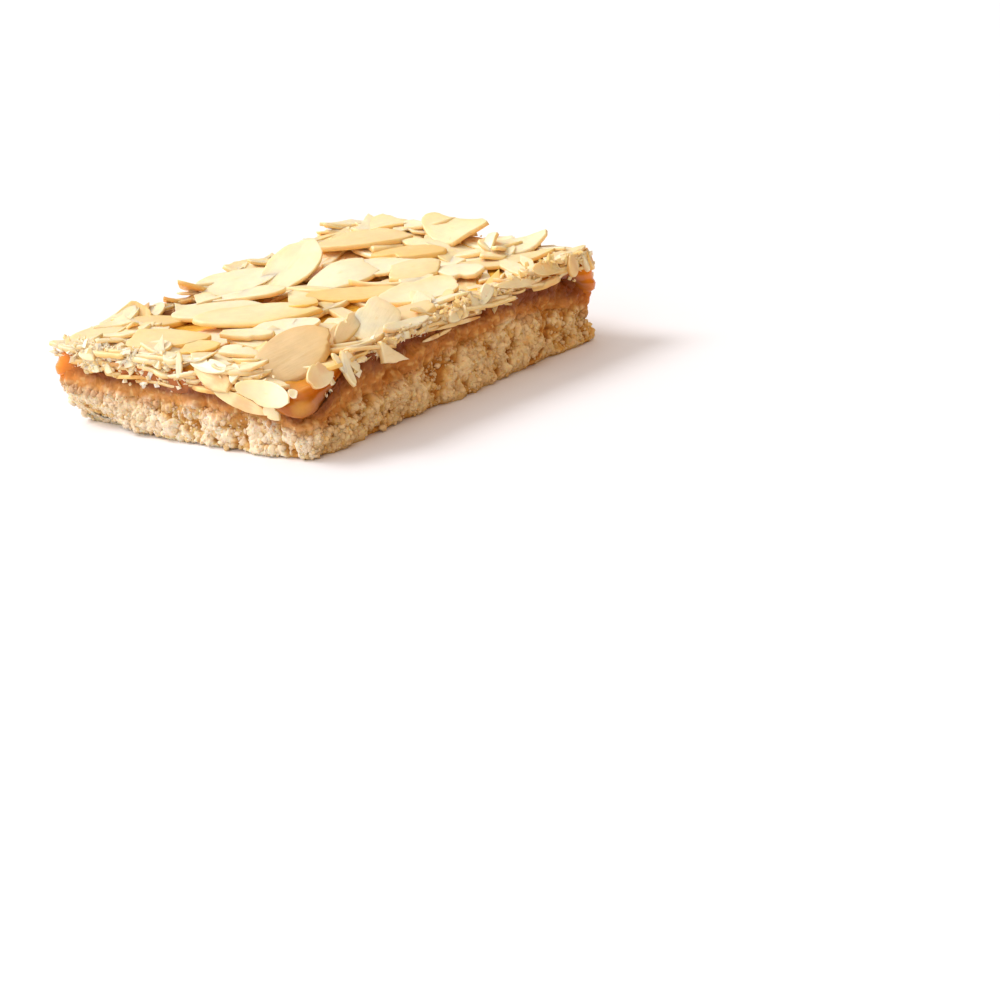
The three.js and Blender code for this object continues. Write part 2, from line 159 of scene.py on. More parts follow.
# Pieces of almond that show at the cut sides: middle x, y and z, the azimuth and
# elevation that the face looks toward, the turn of its long axis up from level, all
# in degrees, length, width, thickness, where it is broken off (-1 to 1), and how wet
# it is with caramel (0 to 1).
SIDE_PIECES = [
    (-37.9, -20.8, 10.5, 186, 22, -8, 11.0, 4.2, 1.2, 0.9, 0.0),
    (-37.3, -14.6, 8.2, 186, 20, -15, 12.0, 2.2, 1.4, 0.9, 0.5),
    (-37.0, -8.6, 11.5, 182, 30, -19, 10.0, 3.8, 1.2, 0.7, 0.6),
    (-37.1, -13.4, 12.4, 176, 30, -50, 4.2, 2.6, 0.7, 0.2, 0.1),
    (-36.9, 3.3, 13.0, 178, 30, -12, 3.8, 2.8, 0.9, 0.3, 0.0),
    (-37.6, -1.5, 13.0, 184, 5, -98, 4.8, 1.2, 0.5, 0.8, 0.0),
    (-37.0, 8.8, 12.4, 180, 35, 32, 4.6, 1.4, 0.8, 0.8, 0.2),
    (-37.3, 18.6, 12.4, 180, 20, -2, 5.0, 1.6, 0.9, 0.4, 0.1),
    (-37.3, 14.4, 10.8, 180, 15, 15, 2.6, 1.8, 0.9, 0.3, 0.0),
    (-37.3, 17.6, 10.4, 182, 10, 12, 3.0, 1.4, 0.8, 0.4, 0.0),
    (-36.9, -7.6, 13.2, 180, 45, -4, 9.0, 2.4, 0.9, 0.8, 0.05),
    (-38.4, -21.6, 7.7, 188, 15, -14, 5.0, 2.0, 0.8, 0.5, 0.1),
    (-38.5, -26.2, 11.3, 215, 30, -30, 1.8, 1.3, 0.8, 0.6, 0.0),
    (-32.8, -26.4, 12.8, -94, 32, 16, 6.4, 3.8, 0.8, 0.6, 0.45),
    (-27.4, -27.1, 12.2, -84, 8, -74, 7.4, 1.9, 0.8, 0.7, 0.0),
    (-28.6, -27.0, 13.6, -98, 12, -64, 4.6, 1.4, 0.7, 0.8, 0.0),
    (-25.6, -26.9, 12.9, -80, 15, -58, 5.2, 1.6, 0.7, 0.6, 0.0),
    (-11.0, -26.0, 14.6, -90, 62, -6, 11.0, 2.2, 1.1, 0.9, 0.0),
    (0.3, -27.2, 12.6, -90, 5, -4, 12.0, 0.8, 0.5, 0.9, 1.0),
    (-4.4, -27.2, 11.9, -88, 5, 2, 8.0, 0.7, 0.5, 0.9, 1.0),
    (1.0, -26.8, 13.9, -88, 30, 12, 6.0, 2.4, 1.0, 0.4, 0.1),
    (5.4, -26.7, 14.9, -80, 35, 58, 5.0, 2.2, 0.7, 0.5, 0.35),
    (9.0, -26.6, 15.4, -98, 35, 36, 6.0, 2.2, 0.8, 0.5, 0.0),
    (16.0, -26.8, 15.0, -90, 20, -10, 11.0, 1.6, 0.9, 0.9, 0.35),
    (25.8, -26.6, 15.3, -86, 35, -8, 8.0, 3.0, 0.8, 0.6, 0.6),
    (32.0, -26.9, 14.6, -86, 20, 58, 5.0, 2.4, 1.0, 0.6, 0.6),
    (35.6, -26.4, 14.2, -70, 20, 76, 4.4, 1.5, 1.0, 0.5, 0.1),
    (36.8, -26.0, 14.2, -60, 20, 66, 4.6, 2.4, 1.4, 0.7, 1.0),
]

# Clusters of scraps that the knife tore from the almonds: middle x, y and z, the reach
# along the side and up it, how many scraps, their size, and how golden they are. The gold
# of those on the long side at -Y is partly painted shade.
SCRAP_CLUSTERS = [
    (-37.5, 17.5, 11.2, 3.2, 0.8, 9, 0.9, 0),
    (-37.5, 19.0, 12.2, 4.0, 1.0, 90, 0.42, 0.1),
    (-37.3, 16.5, 13.9, 4.6, 0.6, 100, 0.42, 0.1),
    (-37.5, 9.0, 13.0, 3.6, 1.0, 60, 0.46, 0.1),
    (-37.5, 6.8, 9.4, 2.6, 0.7, 12, 0.5, 0),
    (-37.4, -5.5, 11.2, 4.5, 0.7, 36, 0.32, 0.2),
    (-37.4, -17.0, 10.2, 3.5, 0.6, 26, 0.32, 0.3),
    (-24.5, -27.2, 11.8, 1.4, 0.8, 7, 0.6, 0.3),
    (-11.5, -27.2, 14.2, 3.4, 0.5, 50, 0.45, 0.4),
    (3.5, -27.1, 14.4, 4.4, 0.8, 60, 0.55, 0.7),
    (14.5, -27.0, 15.4, 4.4, 0.6, 32, 0.55, 0.7),
    (25.0, -26.9, 15.6, 4.2, 0.8, 40, 0.55, 0.8),
    (32.5, -26.8, 14.8, 2.0, 0.8, 24, 0.5, 0.9),
]

# The wedge that is stuck to the caramel at the long side: its middle, and its corners
# along the bar and up.
WEDGE_PLACE = (-16.8, -27.2, 11.9)
WEDGE_CORNERS = [(-2.4, 2.8), (-2.5, -0.8), (3.3, -1.8)]

# The glaze's mesh: its columns, and the rings up its side and over its top.
GLAZE_COLUMNS = 620
GLAZE_SIDE_RINGS = 18
GLAZE_TOP_RINGS = 44

# The lump of glaze that has run down the front corner: y at its middle, how far it
# reaches along X and Y, y and z of its lowest point, and the height of its top.
LUMP_MIDDLE_Y = -22.8
LUMP_REACH_X = 4.2
LUMP_REACH_Y = 4.6
LUMP_TIP_Y = -19.4
LUMP_TIP_Z = 6.5
LUMP_TOP = 11.1

# Deep hollows in the long side's crumb: place along the bar, height, reach and depth.
HOLLOWS = [
    (-5.4, 7.0, 1.7, 1.5),
    (-13.5, 4.4, 1.1, 1.0),
    (-9.0, 5.2, 0.9, 0.9),
    (-17.5, 2.9, 0.9, 0.8),
    (7.5, 7.4, 1.2, 0.9),
    (21.0, 6.0, 1.3, 0.8),
]


def daylight(*colour):
    """A colour as it looks in daylight, from 0 to 255, as the light a surface sends back."""
    share = np.asarray(colour, float) / 255
    return np.where(share <= 0.04045, share / 12.92, ((share + 0.055) / 1.055) ** 2.4)


CREAM = daylight(252, 227, 176)
PALE_CREAM = daylight(255, 244, 214)
RIM_GOLD = daylight(253, 203, 106)
GOLDEN = daylight(246, 182, 78)
HONEY = daylight(242, 194, 104)
WET_AND_SHADED_BROWN = daylight(206, 172, 116)
AMBER = daylight(190, 104, 20)
DEEP_AMBER = daylight(112, 48, 12)
GLAZE_GOLD_AND_GLOW = daylight(255, 198, 80)
SHORTBREAD_PALE = daylight(253, 232, 202)
SHORTBREAD_GOLD = daylight(238, 201, 138)
# A brown that is painted shade in the crumb's hollows, and mottling in the caramel.
SHORTBREAD_PIT = daylight(200, 134, 52)
SHORTBREAD_CRUST = daylight(230, 180, 104)
CARAMEL_PASTE = daylight(201, 135, 66)
CARAMEL_DARK = daylight(128, 58, 4)
CARAMEL_ORANGE = daylight(240, 136, 26)

# The share of each colour that the long side at -Y sends back, next to the other sides:
# painted shade, which makes that side browner and darker.
LONG_SIDE_PAINTED_SHADE = (0.9, 0.77, 0.54)


# Small helpers.


def smoothstep(x, low, high):
    t = np.clip((np.asarray(x, float) - low) / (high - low), 0, 1)
    return t * t * (3 - 2 * t)


def mixed(a, b, share):
    """Rows of colour between a and b."""
    share = np.asarray(share, float)[..., None]
    return np.asarray(a) * (1 - share) + np.asarray(b) * share


def layered(colour, coats):
    """A colour with others laid over it in turn, each by its own share."""
    for coat, share in coats:
        colour = mixed(colour, coat, share)
    return colour


def hashed(ix, iy, iz, seed):
    """A random number from 0 to 1 for each whole-number place."""
    n = (ix * 374761393 + iy * 668265263 + iz * 1103515245 + seed * 144269) & 0xFFFFFFFF
    n = ((n ^ (n >> 13)) * 1274126177) & 0xFFFFFFFF
    n = ((n ^ (n >> 15)) * 668265263) & 0xFFFFFFFF
    return (n ^ (n >> 16)) / 0xFFFFFFFF


def bumps(points, size, seed):
    """Smooth noise from -1 to 1 with features about `size` across."""
    q = np.asarray(points, float) / size
    cell = np.floor(q).astype(np.int64)
    f = q - cell
    f = f * f * (3 - 2 * f)
    total = np.zeros(len(q))
    for corner in np.ndindex(2, 2, 2):
        weight = np.prod(np.where(np.array(corner) == 1, f, 1 - f), axis=1)
        total += weight * hashed(*(cell + np.array(corner)).T, seed)
    return total * 2 - 1


def patches(points, size, seed, low, high):
    """1 in patches about `size` across, 0 between them, and soft at their edges."""
    return smoothstep(bumps(points, size, seed), low, high)


def make_object(name, vertices, faces, tints, uvs=None, smooth=True):
    """A mesh object in metres with a colour for each vertex."""
    mesh = bpy.data.meshes.new(name)
    mesh.from_pydata((np.asarray(vertices) * MM).tolist(), [], faces)
    mesh.polygons.foreach_set("use_smooth", [smooth] * len(mesh.polygons))
    layer = mesh.color_attributes.new("tint", "FLOAT_COLOR", "POINT")
    rgba = np.ones((len(vertices), 4))
    rgba[:, :3] = tints
    layer.data.foreach_set("color", rgba.ravel())
    if uvs is not None:
        corners = np.zeros(len(mesh.loops), int)
        mesh.loops.foreach_get("vertex_index", corners)
        channel = mesh.uv_layers.new(name="along_flake")
        channel.data.foreach_set("uv", np.asarray(uvs)[corners].ravel())
    mesh.validate()
    mesh.update()
    obj = bpy.data.objects.new(name, mesh)
    bpy.context.collection.objects.link(obj)
    return obj


class Parts:
    """Meshes that are gathered into one object."""

    def __init__(self):
        self.vertices, self.faces, self.tints, self.uvs = [], [], [], []
        self.count = 0

    def add(self, vertices, faces, tints, uvs=None):
        self.vertices.append(vertices)
        self.faces += [[k + self.count for k in face] for face in faces]
        self.tints.append(np.broadcast_to(tints, (len(vertices), 3)))
        self.uvs.append(np.zeros((len(vertices), 2)) if uvs is None else uvs)
        self.count += len(vertices)

    def build(self, name, smooth=True):
        return make_object(
            name,
            np.concatenate(self.vertices),
            self.faces,
            np.concatenate(self.tints),
            np.concatenate(self.uvs),
            smooth,
        )


def at_height(ring, z):
    """Points of x and y set at one height."""
    return np.column_stack([ring, np.full(len(ring), z)])


def ring_faces(rows, columns):
    """Quads between closed rings of points, and a fan to a point at each end."""
    faces = []
    for row in range(rows - 1):
        low, high = row * columns, (row + 1) * columns
        for k in range(columns):
            n = (k + 1) % columns
            faces.append([low + k, low + n, high + n, high + k])
    first, last = rows * columns, rows * columns + 1
    top = (rows - 1) * columns
    for k in range(columns):
        n = (k + 1) % columns
        faces.append([first, n, k])
        faces.append([last, top + k, top + n])
    return faces


# The layers' heights, as in the solids.


def near_corner(x, y, corner, reach):
    """How near a place is to a corner: 1 at it, and falling off over the reach."""
    distance = np.hypot(x - corner[0] * LENGTH / 2, y - corner[1] * WIDTH / 2)
    return np.exp(-((distance / reach) ** 2))


def corner_lifts(x, y, left, front, right):
    """How much higher a layer's top is at its corners."""
    return (
        left * near_corner(x, y, LEFT, 8)
        + front * near_corner(x, y, FRONT, 8)
        + right * near_corner(x, y, RIGHT, 7)
    )


def base_top(x, y):
    hump = BASE_SWELL * np.exp(-(((x - 11) / 24) ** 2))
    return BASE_HEIGHT + hump + corner_lifts(x, y, 0.9, -1.5, -2)


def caramel_top(x, y):
    rise = smoothstep(x, -36, -24)
    lifts = corner_lifts(x, y, 1.8, -2.2, -2)
    return CARAMEL_TOP_LOW + (CARAMEL_TOP_HIGH - CARAMEL_TOP_LOW) * rise + lifts


def swell(x, y, middle_x, middle_y, reach_x, reach_y):
    """A soft hump, 1 at its middle and falling off over its reaches."""
    return np.exp(-(((x - middle_x) / reach_x) ** 2) - ((y - middle_y) / reach_y) ** 2)


def glaze_top(x, y):
    crown = GLAZE_CROWN * swell(x, y, 37, 5, 13, 17)
    shoulder = GLAZE_SHOULDER * swell(x, y, -34, 16, 12, 14)
    dip = GLAZE_DIP * swell(x, y, -13, 27, 10, 12)
    return GLAZE_TOP + GLAZE_RISE * x + GLAZE_TWIST * x * y + crown + shoulder - dip


def bar_outline(count):
    """Evenly spaced points of the bar's outline, and the way each one faces."""
    x, y, r = LENGTH / 2 - CORNER_RADIUS, WIDTH / 2 - CORNER_RADIUS, CORNER_RADIUS
    arc = math.pi * r / 2
    legs = [(arc, 0, x, y), (2 * x, 1, x, y), (arc, 1, -x, y), (2 * y, 2, -x, y)]
    legs += [(arc, 2, -x, -y), (2 * x, 3, -x, -y), (arc, 3, x, -y), (2 * y, 4, x, -y)]
    total = sum(leg[0] for leg in legs)
    points, outs = [], []
    for k in range(count):
        travelled = total * k / count
        for number, (span, quarter, cx, cy) in enumerate(legs):
            if travelled < span:
                break
            travelled -= span
        turn = travelled / r if number % 2 == 0 else 0
        angle = quarter * math.pi / 2 + turn
        out = np.array([math.cos(angle), math.sin(angle)])
        point = np.array([cx, cy]) + r * out
        if number % 2 == 1:
            point = point + travelled * np.array([-out[1], out[0]])
        points.append(point)
        outs.append(out)
    return np.array(points), np.array(outs)


def outline_spots(rng, columns, tries):
    """Places picked at random along the bar's outline, and the way each one faces."""
    points, outs = bar_outline(columns)
    for _ in range(tries):
        k = rng.integers(columns)
        yield points[k], outs[k]


def along_side(out):
    """The heading of a side that faces the way `out`."""
    return math.atan2(out[1], out[0]) + math.pi / 2


def surface_of(mesh, unit):
    """A mesh's surface, for rays to be cast at, in units of so many metres."""
    return BVHTree.FromPolygons(
        [v.co / unit for v in mesh.vertices], [tuple(p.vertices) for p in mesh.polygons]
    )


def side_of(tree, points, outs, heights):
    """Where a layer's side stands at each place: its distance out of the outline."""
    reach = 8
    offsets = np.zeros(len(points))
    for k, (point, out, z) in enumerate(zip(points, outs, heights)):
        start = Vector((*(point + out * reach), z)) * MM
        hit = tree.ray_cast(start, Vector((-out[0], -out[1], 0)))
        if hit[0] is not None:
            offsets[k] = reach - hit[3] / MM
    return offsets


# The cut sides of the shortbread and the caramel, which run into each other.


def granule_bed(along, up, size, seed):
    """How high round grains of mixed sizes stand at each place of a side."""
    around = round(OUTLINE_LENGTH / size)
    q = np.column_stack([along * around / OUTLINE_LENGTH, up / size])
    cell = np.floor(q).astype(np.int64)
    height = np.zeros(len(q))
    for step in np.ndindex(3, 3):
        there = cell + np.array(step) - 1
        column, row = there[:, 0] % around, there[:, 1]
        centre = there + np.stack([hashed(column, row, 0, seed + k) for k in range(2)], axis=1)
        radius = 0.4 + 0.45 * hashed(column, row, 0, seed + 2)
        inside = radius**2 - ((q - centre) ** 2).sum(axis=1)
        lift = 0.3 * hashed(column, row, 0, seed + 3)
        dome = np.where(inside > 0, np.sqrt(np.clip(inside, 0, None)) + lift, 0)
        height = np.maximum(height, dome)
    return height


def crumb_relief(p, along):
    """Lumps of round grains with creases between them, in mm, and how deep a place lies."""
    sway = 0.4 * bumps(p, 1.3, 90)
    rise = 0.4 * bumps(p, 1.3, 91)
    relief = np.full(len(p), -CRUMB_MEAN)
    for size, height, seed in CRUMB_SIZES:
        relief += height * granule_bed(along + sway, 0.8 * p[:, 2] + rise, size, seed)
    relief -= 0.5 * patches(p, 2.4, 31, 0.2, 0.6)
    for x, z, reach, depth in HOLLOWS:
        away = np.hypot((p[:, 0] - x) / 1.3, p[:, 2] - z) / reach
        relief -= depth * np.exp(-(away**2)) * (p[:, 1] < 0)
    return relief, smoothstep(-relief, -0.7, 1.1)


def crumb_tint_and_shade(p, depth, crust):
    """Pale crumbs, with painted shade in the creases and hollows: golden, and brown deepest."""
    warm = patches(p, 5, 51, -0.1, 0.7)
    speckle = patches(p, 0.8, 55, 0.45, 0.75) * patches(p, 4, 56, -0.1, 0.5)
    return layered(SHORTBREAD_PALE, [
        # Painted shade: golden and brown by how deep a place lies.
        (SHORTBREAD_GOLD, smoothstep(depth, 0.1, 0.55)),
        (SHORTBREAD_PIT, 0.9 * smoothstep(depth, 0.45, 0.95)),
        (SHORTBREAD_GOLD, 0.4 * warm),
        (GOLDEN, 0.45 * speckle),
        (SHORTBREAD_CRUST, 0.45 * crust),
    ])


def on_long_side(p):
    """1 at the cut side toward -Y, and 0 away from it."""
    return smoothstep(-p[:, 1], WIDTH / 2 - 4, WIDTH / 2 - 1)


def painted_side_shade(p):
    """Painted shade: the share of light a place on the cut sides sends back, less on the long side."""
    front = on_long_side(p) * smoothstep(p[:, 0], -LENGTH / 2, -LENGTH / 2 + 4)
    return mixed(np.ones(3), LONG_SIDE_PAINTED_SHADE, front)


def caramel_tint(p, rise):
    """Paste that darkens upward, with pale grains low down and orange at two corners."""
    share = rise + 0.16 * bumps(p, 2.5, 75) + 0.25 * smoothstep(p[:, 0], -5, 35)
    pale = patches(p, 0.6, 76, 0.15, 0.7) * smoothstep(1 - share, 0, 0.8)
    x, y = p[:, 0], p[:, 1]
    ends = near_corner(x, y, LEFT, 4.5) + 0.7 * near_corner(x, y, RIGHT, 3)
    return layered(CARAMEL_PASTE, [
        (CARAMEL_DARK, smoothstep(share, 0.3, 0.95)),
        (SHORTBREAD_GOLD, 0.7 * pale),
        (CARAMEL_DARK, 0.4 * patches(p, 1.3, 77, 0.2, 0.8)),
        (SHORTBREAD_PIT, 0.35 * patches(p, 2, 78, -0.1, 0.7)),
        (CARAMEL_ORANGE, 0.9 * np.clip(ends, 0, 1) * smoothstep(rise, 0, 0.4)),
    ])


def side_rings(node, points, outs, low, high):
    """Rings of points up a layer's cut side, as the solid's own side stands.

    The two layers' sides are drawn together at the seam, so that they meet in one line.
    """
    x, y = points.T
    meeting = base_top(x, y)
    under_seam, over_seam = meeting - SEAM_STEP, meeting + LAYER_GAP + SEAM_STEP
    solids = frame["nodes"]
    trees = {name: surface_of(solids[name].data, 1) for name in ("shortbread_base", "caramel_layer")}
    below = side_of(trees["shortbread_base"], points, outs, under_seam)
    above = side_of(trees["caramel_layer"], points, outs, over_seam)
    seam = 0.5 * (below + above)
    if node == "shortbread_base":
        own, low_and_shaded, highest = below, SEAM_STEP, under_seam
    else:
        own, low_and_shaded, highest = above, over_seam, caramel_top(x, y) - SEAM_STEP
    rings = []
    for share in np.linspace(0, 1, int(math.ceil((high - low).max() / SIDE_STEP))):
        z = low + (high - low) * share
        offset = side_of(trees[node], points, outs, np.clip(z, low_and_shaded, highest))
        offset += (seam - own) * np.exp(-(((z - meeting) / 1.2) ** 2))
        offset += 0.9 * near_corner(x, y, LEFT, 4) * smoothstep(z, 4, 7)
        rings.append(np.column_stack([points + outs * offset[:, None], z]))
    return rings


def cut_side(node, low, high):
    """A layer's cut side with its crumb or paste: points, colours, and how many rings.

    `low` and `high` are the heights of the first and the last ring over each place of
    the outline.
    """
    points, outs = bar_outline(SIDE_COLUMNS)
    rings = side_rings(node, points, outs, low, high)
    places = np.concatenate(rings)
    count = len(rings)
    meeting = base_top(*points.T)
    edge = np.tile(meeting, count)
    rise = (places[:, 2] - edge) / np.tile(caramel_top(*points.T) - meeting, count)
    wander = 1.2 * bumps(places, 3.2, 53) + 0.7 * bumps(places, 1.1, 54)
    paste = smoothstep(places[:, 2] - edge + wander, -1.7, 0.6)
    along = np.tile(np.arange(SIDE_COLUMNS) * OUTLINE_LENGTH / SIDE_COLUMNS, count)
    crumb, depth = crumb_relief(places, along)
    smooth = sum(
        height * bumps(places, size, seed)
        for height, size, seed in ((0.3, 3, 71), (0.2, 1.1, 72), (0.12, 0.5, 73))
    )
    crust = smoothstep(1.7 - places[:, 2] + 0.5 * bumps(places, 3, 57), 0, 1)
    crust *= smoothstep(places[:, 0], -37, -30)
    sunken = (0.7 - 0.25 * on_long_side(places)) * paste
    relief = crumb * (1 - 0.6 * crust) * (1 - sunken) + (smooth - 0.2) * paste
    tints = mixed(crumb_tint_and_shade(places, depth, crust), caramel_tint(places, rise), 0.96 * paste)
    # Painted shade on the long side at -Y.
    tints = tints * painted_side_shade(places)
    push = np.tile(outs, (count, 1)) * relief[:, None]
    places = places + np.column_stack([push, 0.3 * relief * (1 - paste)])
    places[:, 2] = np.clip(places[:, 2], 0, None)
    places[places[:, 2] < 0.02, 2] = 0
    return places, tints, count


def layer_object(name, places, tints, count, bottom, top, inside):
    """A layer closed by a fan to a point in the middle of its underside and its top."""
    return make_object(
        name,
        np.concatenate([places, [[0, 0, bottom], [0, 0, top]]]),
        ring_faces(count, SIDE_COLUMNS),
        np.concatenate([tints, np.tile(inside, (2, 1))]),
    )


def shortbread():
    points, _ = bar_outline(SIDE_COLUMNS)
    high = base_top(*points.T)
    places, tints, count = cut_side("shortbread_base", 0 * high, high)
    places[:SIDE_COLUMNS, 2] = 0
    middle = float(base_top(0, 0))
    return layer_object("shortbread_crumb", places, tints, count, 0, middle, SHORTBREAD_GOLD)


def caramel_band():
    points, _ = bar_outline(SIDE_COLUMNS)
    low, high = base_top(*points.T), caramel_top(*points.T) + 0.5
    places, tints, count = cut_side("caramel_layer", low, high)
    bottom, top = float(base_top(0, 0)), float(caramel_top(0, 0))
    return layer_object("caramel_band", places, tints, count, bottom, top, CARAMEL_PASTE)


# Glaze.


def glaze_surface(x, y, flake):
    """The glaze's own top, which sinks under the flake that hangs over a corner."""
    slope_x, slope_y = flake["slopes"]
    under = flake["z"] + slope_x * (x - flake["x"]) + slope_y * (y - flake["y"]) - 0.7
    high = glaze_top(x, y) - 0.2
    sunk = np.maximum(np.minimum(high, under), LUMP_TOP)
    return high + (sunk - high) * smoothstep(near_corner(x, y, FRONT, 14), 0.15, 0.5)


def lump_bottom(x, y):
    """The lower edge of the lump of glaze at a corner, which hangs lowest at its tip."""
    away = np.hypot(x + LENGTH / 2, y - LUMP_TIP_Y)
    return LUMP_TIP_Z + np.where(y < LUMP_TIP_Y, 0.42, 0.9) * away


def glaze_tints(places, side_share, orange, honey):
    """Amber, darker low down, with a honey lump, orange corners and a golden top.

    The golden top is a painted glow. The dark low down is weaker at the -X end, which faces
    the light: that difference is painted shade.
    """
    low_and_shaded = (1 - smoothstep(side_share, 0.1, 0.6)) * (1 - np.clip(orange + honey, 0, 1))
    # Painted shade: lighter at the -X end, which faces the light.
    low_and_shaded *= 0.45 + 0.5 * smoothstep(places[:, 0], -LENGTH / 2, -LENGTH / 2 + 5)
    in_lump = smoothstep(near_corner(places[:, 0], places[:, 1], FRONT, 9), 0.2, 0.6)
    return layered(AMBER, [
        (CARAMEL_ORANGE, orange),
        (DEEP_AMBER, low_and_shaded),
        (GLAZE_GOLD_AND_GLOW, 0.6 * honey * patches(places, 2.2, 87, -0.2, 0.6)),
        # Painted glow: the top is golden as if lit through.
        (GLAZE_GOLD_AND_GLOW, (1 - 0.75 * in_lump) * smoothstep(side_share, 0.8, 1)),
    ])


def glaze(corner_flake):
    """Amber glaze: its cut side, with a lump where it has run down a corner, and its top."""
    points, outs = bar_outline(GLAZE_COLUMNS)
    x, y = points.T
    level = np.column_stack([points, 0 * x])
    lump = swell(x, y, -LENGTH / 2, LUMP_MIDDLE_Y, LUMP_REACH_X, LUMP_REACH_Y)
    ends = near_corner(x, y, LEFT, 4) + near_corner(x, y, RIGHT, 4)
    drip = 3 * ends + patches(level, 5, 80, 0.1, 0.8) + 0.5 * patches(level, 2, 86, 0, 0.8)
    low = np.minimum(caramel_top(x, y) + 0.3 - drip * (1 - lump), lump_bottom(x, y))
    high = glaze_surface(x, y, corner_flake)
    rows = []
    for share in np.linspace(0, 1, GLAZE_SIDE_RINGS):
        z = low + (high - low) * share
        place = np.column_stack([points, z])
        over_band = smoothstep(caramel_top(x, y) - z, -0.2, 0.8)
        bulge = (1.5 * lump + 0.9 * ends + 0.15) * math.sin(math.pi * min(1, share + 0.1)) ** 0.6
        tuck = 0.9 * (1 - smoothstep(share, 0, 0.12))
        relief = 0.3 * bumps(place, 3, 81) + 0.2 * bumps(place, 1.2, 82) - 0.35
        offset = relief + 0.45 * over_band + bulge - tuck - 0.9 * smoothstep(share, 0.75, 1) ** 2
        rows.append(np.column_stack([points + outs * offset[:, None], z]))
    rim = rows[-1][:, :2]
    for shrink in np.linspace(0.985, 0.02, GLAZE_TOP_RINGS):
        place = rim * shrink
        z = glaze_surface(*place.T, corner_flake)
        spot = np.column_stack([place, z])
        z = z + 0.35 * bumps(spot, 4.5, 83) + 0.2 * bumps(spot, 1.8, 84)
        rows.append(np.column_stack([place, z]))
    places = np.concatenate(rows)
    side_share = np.repeat(np.arange(len(rows)) / GLAZE_SIDE_RINGS, GLAZE_COLUMNS)
    tints = glaze_tints(
        places, np.clip(side_share, 0, 1), np.tile(ends, len(rows)), np.tile(lump, len(rows))
    )
    middles = np.array([[0, 0, caramel_top(0, 0)], [0, 0, glaze_surface(0, 0, corner_flake)]])
    return make_object(
        "caramel_glaze",
        np.concatenate([places, middles]),
        ring_faces(len(rows), GLAZE_COLUMNS),
        np.concatenate([tints, np.tile(AMBER, (2, 1))]),
    )


# Almond flakes.


class Draw:
    """Random numbers from 0 to 1 by the Mulberry32 rule, as the solids use.

    The first one is thrown away.
    """

    def __init__(self, seed):
        self.state = seed
        self()

    def __call__(self):
        self.state = (self.state + 0x6D2B79F5) & 0xFFFFFFFF
        t = self.state
        t = ((t ^ (t >> 15)) * (t | 1)) & 0xFFFFFFFF
        t ^= (t + (((t ^ (t >> 7)) * (t | 61)) & 0xFFFFFFFF)) & 0xFFFFFFFF
        return (t ^ (t >> 14)) / 4294967296


def almond_outline(length, width, points=48):
    """A slice of almond, blunt at -X and pointed at +X."""
    angle = 2 * math.pi * (np.arange(points) + 0.5) / points
    along, across = np.cos(angle), np.sin(angle)
    side = np.sign(across) * np.abs(across) ** (1.4 + 0.4 * along)
    return np.column_stack([length / 2 * along, width / 2 * side])


def break_off(outline, normal_x, normal_y, limit):
    """The part of a convex outline on one side of a straight break."""
    kept = []
    for k, point in enumerate(outline):
        following = outline[(k + 1) % len(outline)]
        here = normal_x * point[0] + normal_y * point[1] - limit
        there = normal_x * following[0] + normal_y * following[1] - limit
        if here <= 0:
            kept.append(point)
        if here * there < 0:
            kept.append(point + (following - point) * here / (here - there))
    return np.array(kept)


def trim_to_bar(outline, x, y, heading, over):
    """A flake cut off where it would stand out of the bar by more than `over`."""
    c, s = math.cos(heading), math.sin(heading)
    outline = break_off(outline, c, -s, LENGTH / 2 + over - x)
    outline = break_off(outline, -c, s, LENGTH / 2 + over + x)
    outline = break_off(outline, s, c, WIDTH / 2 + over - y)
    return break_off(outline, -s, -c, WIDTH / 2 + over + y)


